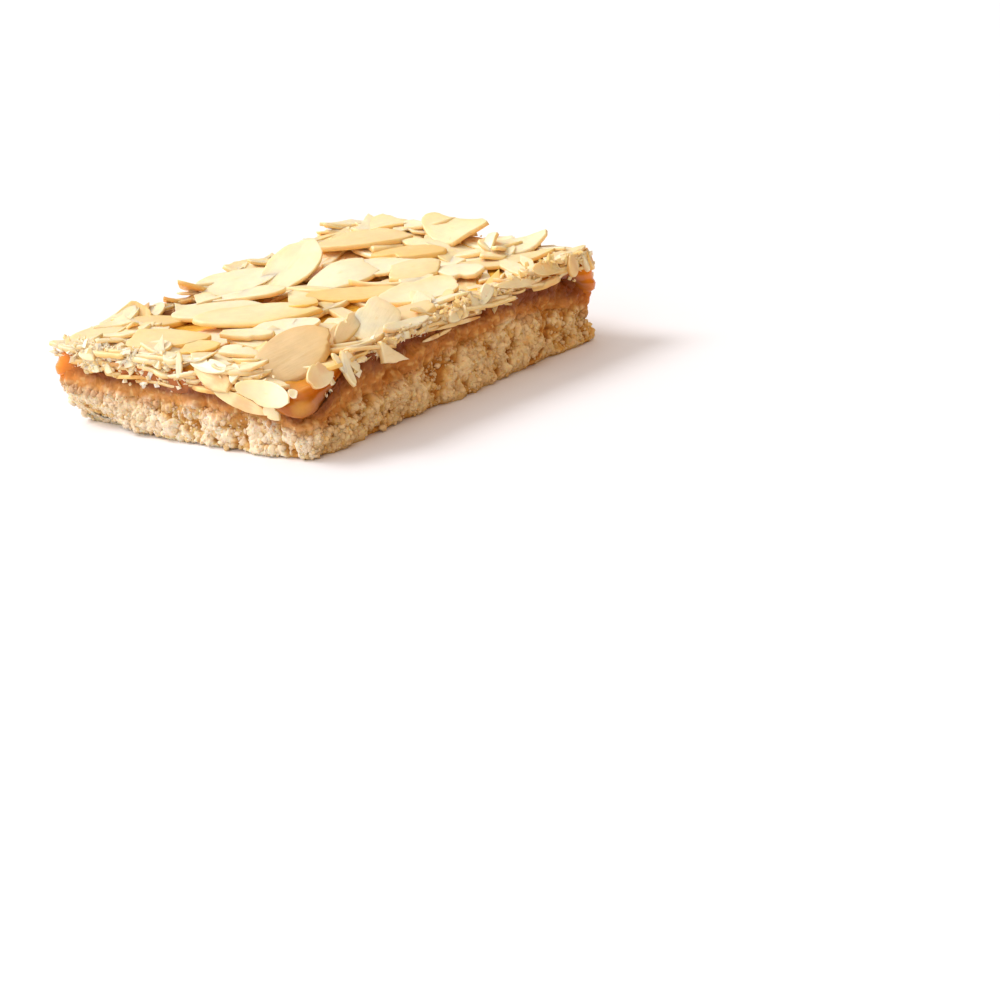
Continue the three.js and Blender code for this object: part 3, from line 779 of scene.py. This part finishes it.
class Pile:
    """The heights of the topping as it is laid, in small square cells."""

    def __init__(self):
        x = np.arange(-LENGTH / 2 + PILE_CELL / 2, LENGTH / 2, PILE_CELL)
        y = np.arange(-WIDTH / 2 + PILE_CELL / 2, WIDTH / 2, PILE_CELL)
        self.x, self.y = (grid.ravel() for grid in np.meshgrid(x, y))
        self.height = glaze_top(self.x, self.y) - PILE_SINK

    def cover(self, x, y):
        """The pile's height over each place."""
        count_x = len(np.unique(self.x))
        column = np.clip(((x + LENGTH / 2) / PILE_CELL).astype(int), 0, count_x - 1)
        row = np.clip(((y + WIDTH / 2) / PILE_CELL).astype(int), 0, len(self.x) // count_x - 1)
        return self.height[row * count_x + column]

    def under(self, outline, x, y, heading):
        c, s = math.cos(heading), math.sin(heading)
        ring = np.column_stack([
            x + outline[:, 0] * c - outline[:, 1] * s,
            y + outline[:, 0] * s + outline[:, 1] * c,
        ])
        inside = np.ones(len(self.x), bool)
        for point, following in zip(ring, np.roll(ring, -1, axis=0)):
            edge = following - point
            inside &= edge[0] * (self.y - point[1]) - edge[1] * (self.x - point[0]) >= 0
        return inside

    def lay(self, flake, slope_x, slope_y, share):
        """Lays a flake at the height that `share` of the cells under it stay below."""
        under = self.under(flake["outline"], flake["x"], flake["y"], flake["heading"])
        rise = slope_x * (self.x[under] - flake["x"]) + slope_y * (self.y[under] - flake["y"])
        heights = np.sort(self.height[under] - rise)
        z = heights[int(share * (len(heights) - 1))]
        thickness = flake.get("thickness", FLAKE_THICKNESS)
        self.height[under] = np.maximum(self.height[under], z + rise + thickness)
        return {**flake, "z": z, "slopes": (slope_x, slope_y)}

    def fitted_slopes(self, under):
        """The slopes of the plane that fits the cells best, held to a gentle lean."""
        x = self.x[under] - self.x[under].mean()
        y = self.y[under] - self.y[under].mean()
        height = self.height[under] - self.height[under].mean()
        xx, xy, yy = (x * x).sum() + 1e-6, (x * y).sum(), (y * y).sum() + 1e-6
        xh, yh = (x * height).sum(), (y * height).sum()
        slopes = np.array([xh * yy - yh * xy, yh * xx - xh * xy]) / (xx * yy - xy * xy)
        return slopes * min(1, STEEPEST_LEAN / max(np.hypot(*slopes), 1e-9))


def tilted_slopes(heading, pitch, roll):
    """The slopes of a flake that is pitched up toward its heading and rolled."""
    flat = math.cos(pitch)
    along = Vector((math.cos(heading) * flat, math.sin(heading) * flat, math.sin(pitch)))
    level = Vector((-math.sin(heading), math.cos(heading), 0))
    across = level * math.cos(roll) + along.cross(level) * math.sin(roll)
    up = along.cross(across)
    return -up.x / up.z, -up.y / up.z


def loose_pile(pile):
    """The loose flakes, spread evenly over the bar by steps that never repeat."""
    draw = Draw(7)
    flakes = []
    for k in range(PILE_COUNT):
        x = ((k * 0.7548776662 + 0.5) % 1 - 0.5) * (LENGTH - 4)
        y = ((k * 0.5698402910 + 0.5) % 1 - 0.5) * (WIDTH - 4)
        heading = draw() * 2 * math.pi
        length = FLAKE_LENGTH[0] + (FLAKE_LENGTH[1] - FLAKE_LENGTH[0]) * draw()
        width = FLAKE_WIDTH[0] + (FLAKE_WIDTH[1] - FLAKE_WIDTH[0]) * draw()
        kind = draw()
        break_angle = (draw() - 0.5) * 1.2
        break_place = (draw() * 0.8 - 0.1) * length / 2
        split_place = (draw() * 0.6 - 0.1) * width / 2
        outline = almond_outline(length, width)
        if kind < 0.55:
            outline = break_off(outline, math.cos(break_angle), math.sin(break_angle), break_place)
            if kind < 0.25:
                outline = break_off(outline, 0.3, 1, split_place)
        elif kind < 0.7:
            outline = break_off(outline, 0, 1, width * 0.12)
            outline = break_off(outline, 0, -1, width * 0.2)
        outline = trim_to_bar(outline, x, y, heading, draw() * 2 - 1.2)
        lean = np.array([(draw() - 0.5) * 0.16, (draw() - 0.5) * 0.16])
        if len(outline) < 3:
            continue
        under = pile.under(outline, x, y, heading)
        if under.sum() < 60:
            continue
        slopes = pile.fitted_slopes(under) + lean
        flake = {"x": x, "y": y, "heading": heading, "outline": outline}
        flakes.append(pile.lay(flake, *slopes, 0.62))
    return flakes


def top_flakes(pile):
    flakes = []
    for number, row in enumerate(TOP_FLAKES):
        x, y, degrees, pitch, roll, length, width, start, end = row
        heading = math.radians(degrees)
        outline = almond_outline(length, width)
        outline = break_off(outline, 1, -0.15, end * length / 2)
        outline = break_off(outline, -1, 0.1, -start * length / 2)
        outline = trim_to_bar(outline, x, y, heading, 1.2)
        slopes = tilted_slopes(heading, math.radians(pitch), math.radians(roll))
        flake = {"x": x, "y": y, "heading": heading, "outline": outline}
        # Partly painted shade, by the tables of golden and brown flakes.
        flake["stain"] = STAINED_AND_SHADED.get(number, 0)
        flake["brown"] = BROWNED_AND_SHADED.get(number, 0)
        flakes.append(pile.lay(flake, *slopes, 0.7))
    return flakes


def edge_flakes():
    """Cut flakes in the glaze all round the bar, as in the solids.

    Those that would lie on the large flake at the front corner are left out.
    """
    draw = Draw(23)
    count = round(2 * (LENGTH + WIDTH) / EDGE_SPACING)
    flakes = []
    for point, out in zip(*bar_outline(count)):
        if near_corner(*point, FRONT, 5) > 0.5:
            continue
        highest = glaze_top(*point) - 0.3
        z = caramel_top(*point) + 0.6
        while z < highest:
            shift = (draw() - 0.5) * EDGE_SPACING
            x = point[0] - 2.4 * out[0] - shift * out[1]
            y = point[1] - 2.4 * out[1] + shift * out[0]
            heading = along_side(out) + (draw() - 0.5) * 1.4
            length = 10 + 4 * draw()
            width = 5 + 2 * draw()
            over = 0.2 + 0.8 * draw()
            outline = trim_to_bar(almond_outline(length, width), x, y, heading, over)
            slopes = ((draw() - 0.5) * 0.14, (draw() - 0.5) * 0.14)
            if not over_corner_flake(x, y, z):
                flakes.append({
                    "x": x, "y": y, "z": z, "heading": heading,
                    "slopes": slopes, "outline": outline,
                })
            z += EDGE_LAYER
    return flakes


def shard_outline(rng, length, width):
    """A small broken piece with three to six sharp corners."""
    corners = int(rng.integers(3, 7))
    angle = 2 * math.pi * (np.arange(corners) + rng.uniform(-0.35, 0.35, corners)) / corners
    return np.column_stack([length / 2 * np.cos(angle), width / 2 * np.sin(angle)])


def over_corner_flake(x, y, z):
    """Whether a piece would lie on the large flake that hangs over a corner."""
    return z > 11 and near_corner(x, y, FRONT, 11) > 0.3


def top_chips(pile):
    """Broken chips and slivers that lie on the flakes, mostly along the cut sides."""
    rng = np.random.default_rng(31)
    flakes = []
    for point, out in outline_spots(rng, 600, CHIP_TRIES):
        x, y = point - out * rng.gamma(1.8, 3.2)
        heading = along_side(out) + rng.normal(0, 0.8)
        length = rng.uniform(5, 15)
        width = rng.uniform(1.6, 5)
        outline = trim_to_bar(shard_outline(rng, length, width), x, y, heading, rng.uniform(-0.4, 0.7))
        if len(outline) < 3 or over_corner_flake(x, y, GLAZE_TOP):
            continue
        under = pile.under(outline, x, y, heading)
        if under.sum() < 6:
            continue
        slopes = pile.fitted_slopes(under) + rng.normal(0, 0.08, 2)
        flake = {"x": x, "y": y, "heading": heading, "outline": outline, "thickness": 0.8}
        flakes.append(pile.lay(flake, *slopes, 0.35))
    return flakes


def side_shards():
    """Slices cut flush with the bar's sides, which show edge-on in the glaze."""
    rng = np.random.default_rng(47)
    flakes = []
    for point, out in outline_spots(rng, 400, SHARD_TRIES):
        low, high = caramel_top(*point) + 0.2, glaze_top(*point) + 0.8
        share = rng.uniform(0, 1)
        if near_corner(*point, FRONT, 5) > 0.4:
            continue
        length = 3 + rng.gamma(2, 2.4)
        width = rng.uniform(3, 6)
        over = rng.uniform(-0.4, 0.45)
        x, y = point - (0.3 * width - over) * out
        heading = along_side(out) + rng.normal(0, 0.3)
        outline = shard_outline(rng, length, width)
        if rng.uniform() < 0.5:
            outline = almond_outline(length, width, 24)
        outline = trim_to_bar(outline, x, y, heading, over)
        z = low + (high - low) * share
        if len(outline) < 3 or over_corner_flake(x, y, z):
            continue
        flakes.append({
            "x": x, "y": y, "z": z, "heading": heading,
            "slopes": rng.normal(0, 0.13, 2), "outline": outline,
            "thickness": rng.uniform(0.45, 1.0),
            # On the long side at -Y a quarter more is painted shade.
            "wet": (1 - share) * rng.uniform(0.2, 1) + 0.25 * (out[1] < -0.5),
        })
    return flakes


def rim_points(outline, count):
    """Points at even steps along an outline that keep its corners, and which lie on breaks."""
    closed = np.vstack([outline, outline[:1]])
    legs = np.diff(closed, axis=0)
    steps = np.linalg.norm(legs, axis=1)
    travelled = np.concatenate([[0], np.cumsum(steps)])
    at = np.linspace(0, travelled[-1], count, endpoint=False)
    leg = np.clip(np.searchsorted(travelled, at, side="right") - 1, 0, len(steps) - 1)
    broken = steps[leg] > 0.06 * travelled[-1]
    heading = np.arctan2(legs[:, 1], legs[:, 0])
    turn = np.abs((heading - np.roll(heading, 1) + math.pi) % (2 * math.pi) - math.pi)
    for corner in np.nonzero(turn > 0.4)[0]:
        at[np.argmin(np.abs(at - travelled[corner]))] = travelled[corner]
    return np.column_stack([np.interp(at, travelled, closed[:, k]) for k in range(2)]), broken


def flake_axes(flake):
    """The flake's own directions: along it, across it, and out of its face."""
    if "axes" in flake:
        return flake["axes"]
    slope_x, slope_y = flake["slopes"]
    c, s = math.cos(flake["heading"]), math.sin(flake["heading"])
    along = np.array([c, s, slope_x * c + slope_y * s])
    along /= np.linalg.norm(along)
    up = np.array([-slope_x, -slope_y, 1])
    up /= np.linalg.norm(up)
    return np.array([along, np.cross(up, along), up])


def facing_axes(azimuth, elevation, spin):
    """Directions of a piece whose face looks toward an azimuth and an elevation."""
    azimuth, elevation, spin = (math.radians(angle) for angle in (azimuth, elevation, spin))
    level = math.cos(elevation)
    face = np.array([level * math.cos(azimuth), level * math.sin(azimuth), math.sin(elevation)])
    sideways = np.array([-math.sin(azimuth), math.cos(azimuth), 0])
    along = math.cos(spin) * sideways + math.sin(spin) * np.cross(face, sideways)
    return np.array([along, np.cross(face, along), face])


def side_pieces():
    """The pieces of almond that are seen face on at the cut sides."""
    pieces = []
    for x, y, z, azimuth, elevation, spin, length, width, thick, end, wet in SIDE_PIECES:
        outline = almond_outline(length, width, 36)
        outline = break_off(outline, 1, 0.35, end * length / 2)
        pieces.append({
            "x": x, "y": y, "z": z, "axes": facing_axes(azimuth, elevation, spin),
            "outline": outline, "thickness": thick, "wet": wet,
        })
    x, y, z = WEDGE_PLACE
    pieces.append({
        "x": x, "y": y, "z": z, "axes": facing_axes(-90, 12, 0),
        "outline": np.array(WEDGE_CORNERS), "thickness": 1.4, "wet": 0.3,
    })
    return pieces


def worn_rim(rng, seed, rim, outward, small, broken, whole):
    """A rim made uneven, more so where it is broken, with nibbles if it is a whole slice."""
    place = at_height(rim, seed * 7.3)
    ragged = np.where(broken, 0.35, 0.12) * bumps(place, 1.5, 3) + 0.4 * bumps(place, 5, 6)
    ragged += np.where(broken, 0.18, 0.03) * bumps(place, 0.6, 4)
    rim = rim + outward * (ragged * small)[:, None]
    turn = np.arctan2(outward[:, 1], outward[:, 0])
    for _ in range(int(rng.integers(0, 3)) if whole else 0):
        away = (turn - rng.uniform(-math.pi, math.pi) + math.pi) % (2 * math.pi) - math.pi
        reach = rng.uniform(0.12, 0.3)
        bite = rng.uniform(0.3, 1.1) * small * np.exp(-((away / reach) ** 2))
        rim = rim - outward * bite[:, None]
    return rim


def flake_profile(rings):
    """The rings of a flake's mesh, from the middle of its underside to that of its top.

    Each is at a share of the way from the middle to the rim, or else at an inset from
    the rim in mm, and at a level from -1, the underside, to 1, the top.
    """
    side = [(0.15, -1.0), (0.05, -0.95), (0.0, -0.7), (0.0, 0.7), (0.05, 0.95), (0.15, 1.0)]
    inner = np.linspace(0.12, 0.94, rings)
    profile = [(share, None, -1.0) for share in inner]
    profile += [(None, inset, level) for inset, level in side]
    return profile + [(share, None, 1.0) for share in inner[::-1]]


def wet_tints(flake, placed, tints, cover):
    """A flake's colours where caramel covers or stains it, and painted shade under other flakes."""
    if "wet" in flake:
        buried_wet_and_shade = np.full(len(placed), float(flake["wet"]))
    else:
        # Partly caramel, partly painted shade under the flakes above.
        buried_wet_and_shade = smoothstep(cover(placed[:, 0], placed[:, 1]) - placed[:, 2], 0.8, 2.6)
    return layered(tints, [
        (GOLDEN, np.clip(buried_wet_and_shade * (0.65 + 0.35 * bumps(placed, 2.5, 8)), 0, 1)),
        (AMBER, 0.5 * buried_wet_and_shade * patches(placed, 2, 9, 0, 0.6)),
        # Partly painted shade, by the tables of golden and brown flakes.
        (HONEY, flake.get("stain", 0)),
        (WET_AND_SHADED_BROWN, flake.get("brown", 0)),
    ])


def flake_mesh(flake, seed, around, rings, cover):
    """A thin slice of almond: flat faces, a crisp rim, ragged where it is broken."""
    rng = np.random.default_rng(seed)
    rim, broken = rim_points(flake["outline"], around)
    middle = rim.mean(axis=0)
    outward = rim - middle
    radius = np.linalg.norm(outward, axis=1)[:, None] + 1e-9
    outward = outward / radius
    most = 0.3 * radius[:, 0]
    size = np.ptp(rim, axis=0).max()
    small = min(1, size / 10)
    rim = worn_rim(rng, seed, rim, outward, small, broken, len(flake["outline"]) > 8)
    thickness = flake.get("thickness", FLAKE_THICKNESS) * rng.uniform(0.65, 0.95)
    slant = rng.normal(0, 0.4) * small * np.where(broken, 0.2, 1.0)
    sag = rng.normal(0, 0.6) * small
    cup = rng.normal(0, 0.2) * small
    twist = rng.normal(0, 0.5) * small
    tone = rng.beta(1.4, 3.5) * (0.35 + flake.get("wet", 0.65))
    golden_side = rng.uniform(0, 2 * math.pi)
    vertices, tints, uvs = [], [], []

    def bend(ring):
        u, v = (ring / (size / 2)).T
        lumps = bumps(at_height(ring, seed), 4, 5)
        return sag * u * u + cup * (v * 2) ** 2 + twist * u * v + 0.12 * small * lumps

    def add(ring, level, colours):
        height = 0.5 * thickness * (1 + level)
        vertices.append(np.column_stack([ring, height + bend(ring)]))
        tints.append(colours)
        uvs.append(ring * 0.1 + seed * 0.37)

    profile = flake_profile(rings)
    for share, inset, level in profile:
        slanted = np.maximum(slant * level, 0)
        if share is None:
            ring = rim - outward * np.minimum(inset + slanted, most)[:, None]
            near_rim = 1 - 0.5 * max(level, 0)
        else:
            inner = rim - outward * np.minimum(0.3 + slanted, most)[:, None]
            ring = middle + (inner - middle) * share
            near_rim = 0.4 * float(smoothstep(share, 0.7, 1))
        u, v = (ring / (size / 2)).T
        drift = smoothstep(u * math.cos(golden_side) + v * math.sin(golden_side), -0.4, 1.2)
        mottled = 0.12 * bumps(at_height(ring, seed * 3.1), 3, 7)
        # Near the rim the gold is partly the slice's own rim colour, partly a painted warm glow.
        gold = 0.6 * near_rim * (0.2 + 0.8 * tone) + 0.9 * tone * drift + mottled
        add(ring, level, layered(PALE_CREAM, [
            (CREAM, 0.3 + 0.7 * tone),
            (RIM_GOLD, np.clip(gold, 0, 1)),
            # The underside is painted golden: painted warm shade.
            (GOLDEN, 0.6 if level < 0 else 0),
        ]))
    for level in (-1.0, 1.0):
        add(middle[None], level, CREAM[None])
    vertices, tints, uvs = (np.concatenate(part) for part in (vertices, tints, uvs))
    placed = np.array([flake["x"], flake["y"], flake["z"]]) + vertices @ flake_axes(flake)
    return placed, ring_faces(len(profile), around), wet_tints(flake, placed, tints, cover), uvs


def joined_flakes(name, flakes, first_seed, around, rings, cover):
    parts = Parts()
    for k, flake in enumerate(flakes):
        parts.add(*flake_mesh(flake, first_seed + k, around, rings, cover))
    return parts.build(name)


# Crumbs.


def crumb_shape(rng, radius):
    """A small uneven lump."""
    rings, around = 3, 6
    vertices = []
    for row in range(rings):
        angle = math.pi * (row + 1) / (rings + 1)
        turn = 2 * math.pi * (np.arange(around) + 0.5 * (row % 2)) / around
        ring = np.sin(angle) * np.column_stack([np.cos(turn), np.sin(turn)])
        vertices.append(at_height(ring, -np.cos(angle)))
    vertices.append([[0, 0, -1], [0, 0, 1]])
    vertices = np.concatenate(vertices)
    squash = rng.uniform(0.6, 1.1, 3)
    lumps = 1 + 0.35 * bumps(vertices, 0.8, int(rng.integers(1000)))
    return vertices * squash * lumps[:, None] * radius, ring_faces(rings, around)


def chunk_shape(rng, radius):
    """A small broken chunk or a sliver with flat faces, at any angle."""
    outline = shard_outline(rng, 2, rng.uniform(0.9, 2))
    if rng.uniform() < 0.4:
        outline = outline * np.array([1.9, 0.6])
    count = len(outline)
    top = outline * rng.uniform(0.4, 0.9) + rng.uniform(-0.25, 0.25, 2)
    height = rng.uniform(0.3, 0.7)
    vertices = np.vstack([
        np.column_stack([outline, np.full(count, -height)]),
        np.column_stack([top, np.full(count, height)]),
        [[0, 0, -height], [*top.mean(axis=0), height]],
    ])
    turn = Matrix.Rotation(rng.uniform(0, 2 * math.pi), 3, Vector(rng.normal(size=3)))
    return vertices @ np.array(turn) * radius, ring_faces(2, count)


def side_crumbs(base):
    """Loose crumbs that cling to the cut sides of the shortbread."""
    rng = np.random.default_rng(61)
    tree = surface_of(base.data, MM)
    parts = Parts()
    for point, out in outline_spots(rng, 900, SIDE_CRUMB_TRIES):
        z = base_top(*point) * rng.uniform(0.02, 1)
        clump = bumps(np.array([[*point, z]]), 2.6, 62)[0]
        if rng.uniform(-0.9, 0.6) > clump:
            continue
        radius = min(0.16 + 0.16 * rng.gamma(1.6, 0.7), 0.75)
        start = Vector((*(point + out * 6), z))
        hit = tree.ray_cast(start, Vector((-out[0], -out[1], 0)))
        if hit[0] is None or hit[0].z < 0.6 * radius:
            continue
        vertices, faces = crumb_shape(rng, radius)
        place = np.array(hit[0]) - np.array([*out, 0]) * radius * rng.uniform(-0.1, 0.5)
        vertices = vertices + place
        vertices[:, 2] = np.maximum(vertices[:, 2], 0)
        tone = rng.uniform(0, 1)
        near_top = smoothstep(place[2], base_top(*point) - 2.0, base_top(*point))
        tint = layered(SHORTBREAD_PALE, [
            (SHORTBREAD_GOLD, tone * tone),
            (CARAMEL_PASTE, 0.7 * near_top),
        ])
        # Painted shade on the long side at -Y.
        parts.add(vertices, faces, tint * painted_side_shade(place[None]))
    return parts.build("side_crumbs")


def scrap_places(rng):
    """Where scraps of almond stick to the topping's cut sides, their size and gold."""
    places = []
    for x, y, z, along, up, count, size, golden in SCRAP_CLUSTERS:
        on_end = abs(x) > abs(y) + (LENGTH - WIDTH) / 2
        for _ in range(count):
            shift, lift, depth = rng.normal(0, along), rng.normal(0, up), rng.uniform(-0.2, 0.5)
            radius = size * min(0.5 + rng.gamma(1.4, 0.4), 1.8)
            if on_end:
                places.append((x + depth, y + shift, z + lift, radius, golden))
            else:
                places.append((x + shift, y + depth, z + lift, radius, golden))
    for point, out in outline_spots(rng, 900, SCRAP_TRIES):
        low, high = caramel_top(*point) - 0.5, glaze_top(*point) + 0.6
        z = low + (high - low) * rng.beta(1.6, 1.3)
        clump = bumps(np.array([[*point, z]]), 4, 68)[0]
        if rng.uniform(-0.3, 0.7) < clump and near_corner(*point, FRONT, 5) < 0.4:
            x, y = point + out * rng.uniform(-0.6, 0.1)
            places.append((x, y, z, min(0.18 + 0.2 * rng.gamma(1.3, 0.8), 0.9), 0.3))
    return places


def almond_crumbs():
    """Scraps of almond that the knife has torn off, stuck to the topping's cut sides."""
    rng = np.random.default_rng(67)
    parts = Parts()
    for x, y, z, radius, golden in scrap_places(rng):
        vertices, faces = chunk_shape(rng, radius)
        x = np.clip(x, -LENGTH / 2 - 0.3, LENGTH / 2 + 0.3)
        y = np.clip(y, -WIDTH / 2 - 0.3, WIDTH / 2 + 0.3)
        # Partly painted shade on the long side at -Y, by the clusters' gold.
        share = np.clip(golden + 0.6 * rng.uniform(-0.4, 1), 0, 1)
        tint = layered(PALE_CREAM, [(RIM_GOLD, 0.5 * share), (HONEY, 0.6 * share)])
        parts.add(vertices + np.array([x, y, z]), faces, tint)
    return parts.build("almond_crumbs", smooth=False)


# Materials.


def set_inputs(node, values):
    """Sets some of a node's inputs, and returns the node."""
    for name, value in values.items():
        node.inputs[name].default_value = value
    return node


def new_material(name, values):
    """A material with some of its shader's inputs set."""
    material = bpy.data.materials.new(name)
    material.use_nodes = True
    set_inputs(material.node_tree.nodes["Principled BSDF"], values)
    return material


def add_bumps(material, vector, scale, height):
    """Noise that dents the surface by up to `height` metres."""
    nodes, links = material.node_tree.nodes, material.node_tree.links
    grain = set_inputs(nodes.new("ShaderNodeTexNoise"), {"Scale": scale, "Detail": 5})
    links.new(vector, grain.inputs["Vector"])
    bump = set_inputs(nodes.new("ShaderNodeBump"), {"Distance": height, "Strength": 1})
    links.new(grain.outputs["Fac"], bump.inputs["Height"])
    links.new(bump.outputs["Normal"], nodes["Principled BSDF"].inputs["Normal"])


def food_material(name, grain, roughness, specular, glow, glow_mm):
    """The mesh's own colour, darker and lighter by a fine grain, and where its noise is.

    `grain` is its scale and the darkest and lightest share. Light goes into the food by
    a share `glow`, and as far as `glow_mm` for red, green and blue.
    """
    material = new_material(name, {
        "Roughness": roughness, "Specular IOR Level": specular,
        "Subsurface Weight": glow, "Subsurface Radius": glow_mm, "Subsurface Scale": MM,
    })
    nodes, links = material.node_tree.nodes, material.node_tree.links
    tint = nodes.new("ShaderNodeAttribute")
    tint.attribute_name = "tint"
    place = nodes.new("ShaderNodeTexCoord").outputs["Object"]
    scale, darkest, lightest = grain
    noise = set_inputs(nodes.new("ShaderNodeTexNoise"), {"Scale": scale, "Detail": 4})
    links.new(place, noise.inputs["Vector"])
    levels = set_inputs(
        nodes.new("ShaderNodeMapRange"),
        {"From Min": 0.3, "From Max": 0.7, "To Min": darkest, "To Max": lightest},
    )
    links.new(noise.outputs["Fac"], levels.inputs["Value"])
    mix = nodes.new("ShaderNodeMix")
    mix.data_type = "RGBA"
    mix.blend_type = "MULTIPLY"
    mix.inputs["Factor"].default_value = 1
    links.new(tint.outputs["Color"], mix.inputs["A"])
    links.new(levels.outputs["Result"], mix.inputs["B"])
    links.new(mix.outputs["Result"], nodes["Principled BSDF"].inputs["Base Color"])
    return material, place


def shortbread_material(name, glow):
    grain, glow_mm = (900, 0.86, 1.08), (1.4, 0.9, 0.45)
    material, place = food_material(name, grain, 0.85, 0.2, glow, glow_mm)
    add_bumps(material, place, 2600, 0.0002)
    return material


def caramel_material():
    grain, glow_mm = (1200, 0.88, 1.1), (1.2, 0.6, 0.25)
    material, place = food_material("caramel paste", grain, 0.5, 0.2, 0.15, glow_mm)
    add_bumps(material, place, 2200, 0.00012)
    return material


def glaze_material():
    grain, glow_mm = (260, 0.8, 1.15), (2.0, 1.1, 0.3)
    material, place = food_material("amber glaze", grain, 0.22, 0.3, 0.15, glow_mm)
    shader = material.node_tree.nodes["Principled BSDF"]
    set_inputs(shader, {"Coat Weight": 0.25, "Coat Roughness": 0.08})
    add_bumps(material, place, 420, 0.0002)
    return material


def almond_material():
    """Its bumps are stretched into fine lines along each flake."""
    grain, glow_mm = (500, 0.93, 1.03), (1.5, 1.0, 0.5)
    material, _ = food_material("almond flake", grain, 0.38, 0.5, 0.4, glow_mm)
    nodes, links = material.node_tree.nodes, material.node_tree.links
    channel = nodes.new("ShaderNodeUVMap")
    channel.uv_map = "along_flake"
    stretch = set_inputs(nodes.new("ShaderNodeMapping"), {"Scale": (1, 7, 1)})
    links.new(channel.outputs["UV"], stretch.inputs["Vector"])
    add_bumps(material, stretch.outputs["Vector"], 2.2, 0.0001)
    return material


# The scene.


def floor():
    bpy.ops.mesh.primitive_plane_add(size=6, location=(0, 0, 0))
    plane = bpy.context.object
    plane.name = "floor"
    plane.data.materials.append(
        new_material("white floor", {"Base Color": (0.91, 0.92, 0.97, 1), "Roughness": 0.6})
    )
    return plane


def camera():
    data = bpy.data.cameras.new("camera")
    data.lens = 113.9
    data.sensor_width = 36
    data.clip_start = 0.01
    obj = bpy.data.objects.new("camera", data)
    bpy.context.collection.objects.link(obj)
    place = Vector((-378.8, -346.3, 143.7)) * MM
    aim = Vector((11.8, -23.5, -21.7)) * MM
    look = (aim - place).to_track_quat("-Z", "Y")
    turn = look.to_matrix().to_4x4() @ Matrix.Rotation(math.radians(-5), 4, "Z")
    obj.matrix_world = Matrix.Translation(place) @ turn
    bpy.context.scene.camera = obj


def key_light():
    data = bpy.data.lights.new("key", "SUN")
    data.energy = 1.9
    data.angle = math.radians(24)
    data.color = (1.0, 0.99, 0.99)
    obj = bpy.data.objects.new("key", data)
    bpy.context.collection.objects.link(obj)
    toward = Vector((-0.3, 0.8, 0.85))
    obj.rotation_euler = toward.to_track_quat("Z", "Y").to_euler()


def world():
    """Soft light from all round, warmer from the side that faces away from the key."""
    scene_world = bpy.data.worlds.new("studio")
    bpy.context.scene.world = scene_world
    scene_world.use_nodes = True
    nodes, links = scene_world.node_tree.nodes, scene_world.node_tree.links
    background = nodes["Background"]
    background.inputs["Strength"].default_value = 0.77
    direction = nodes.new("ShaderNodeTexCoord")
    turn = nodes.new("ShaderNodeVectorMath")
    turn.operation = "DOT_PRODUCT"
    turn.inputs[1].default_value = (0.75, -0.48, -0.45)
    links.new(direction.outputs["Generated"], turn.inputs[0])
    ramp = nodes.new("ShaderNodeValToRGB")
    cool, warm = ramp.color_ramp.elements
    cool.position, cool.color = 0.1, (1.5, 1.48, 1.47, 1)
    warm.position, warm.color = 0.75, (0.5, 0.26, 0.06, 1)
    share = set_inputs(nodes.new("ShaderNodeMapRange"), {"From Min": -1})
    links.new(turn.outputs["Value"], share.inputs["Value"])
    links.new(share.outputs["Result"], ramp.inputs["Fac"])
    links.new(ramp.outputs["Color"], background.inputs["Color"])


camera()
world()
key_light()
ground = floor()

almond = almond_material()
pile = Pile()
loose = loose_pile(pile)
chips = top_chips(copy.deepcopy(pile))
top = top_flakes(pile)
crumb = shortbread_material("shortbread crumb", 0.55)
loose_crumb = shortbread_material("loose crumb", 0)
base = shortbread()

# The flakes by kind: the piece's name, its flakes, the first one's seed, and the points
# and rings of each flake's mesh.
flake_kinds = [
    ("loose_flakes", loose, 100, 44, 4),
    ("top_flakes", top, 200, 64, 6),
    ("top_chips", chips, 300, 16, 2),
    ("edge_flakes", edge_flakes(), 500, 32, 3),
    ("side_shards", side_shards(), 700, 16, 2),
    ("side_pieces", side_pieces(), 1300, 48, 5),
]
pieces = [
    (base, "shortbread", crumb, ["shortbread_base"]),
    (side_crumbs(base), "shortbread", loose_crumb, []),
    (caramel_band(), "caramel", caramel_material(), ["caramel_layer"]),
    (glaze(top[CORNER_FLAKE]), "caramel", glaze_material(), ["almond_topping"]),
    *((joined_flakes(*kind, pile.cover), "almond", almond, []) for kind in flake_kinds),
    (almond_crumbs(), "almond", almond, []),
]
for piece, slot, material, nodes in pieces:
    piece.data.materials.append(material)
    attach(piece, "root")
    if nodes:
        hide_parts(*nodes)

bpy.context.scene.view_settings.view_transform = "Standard"
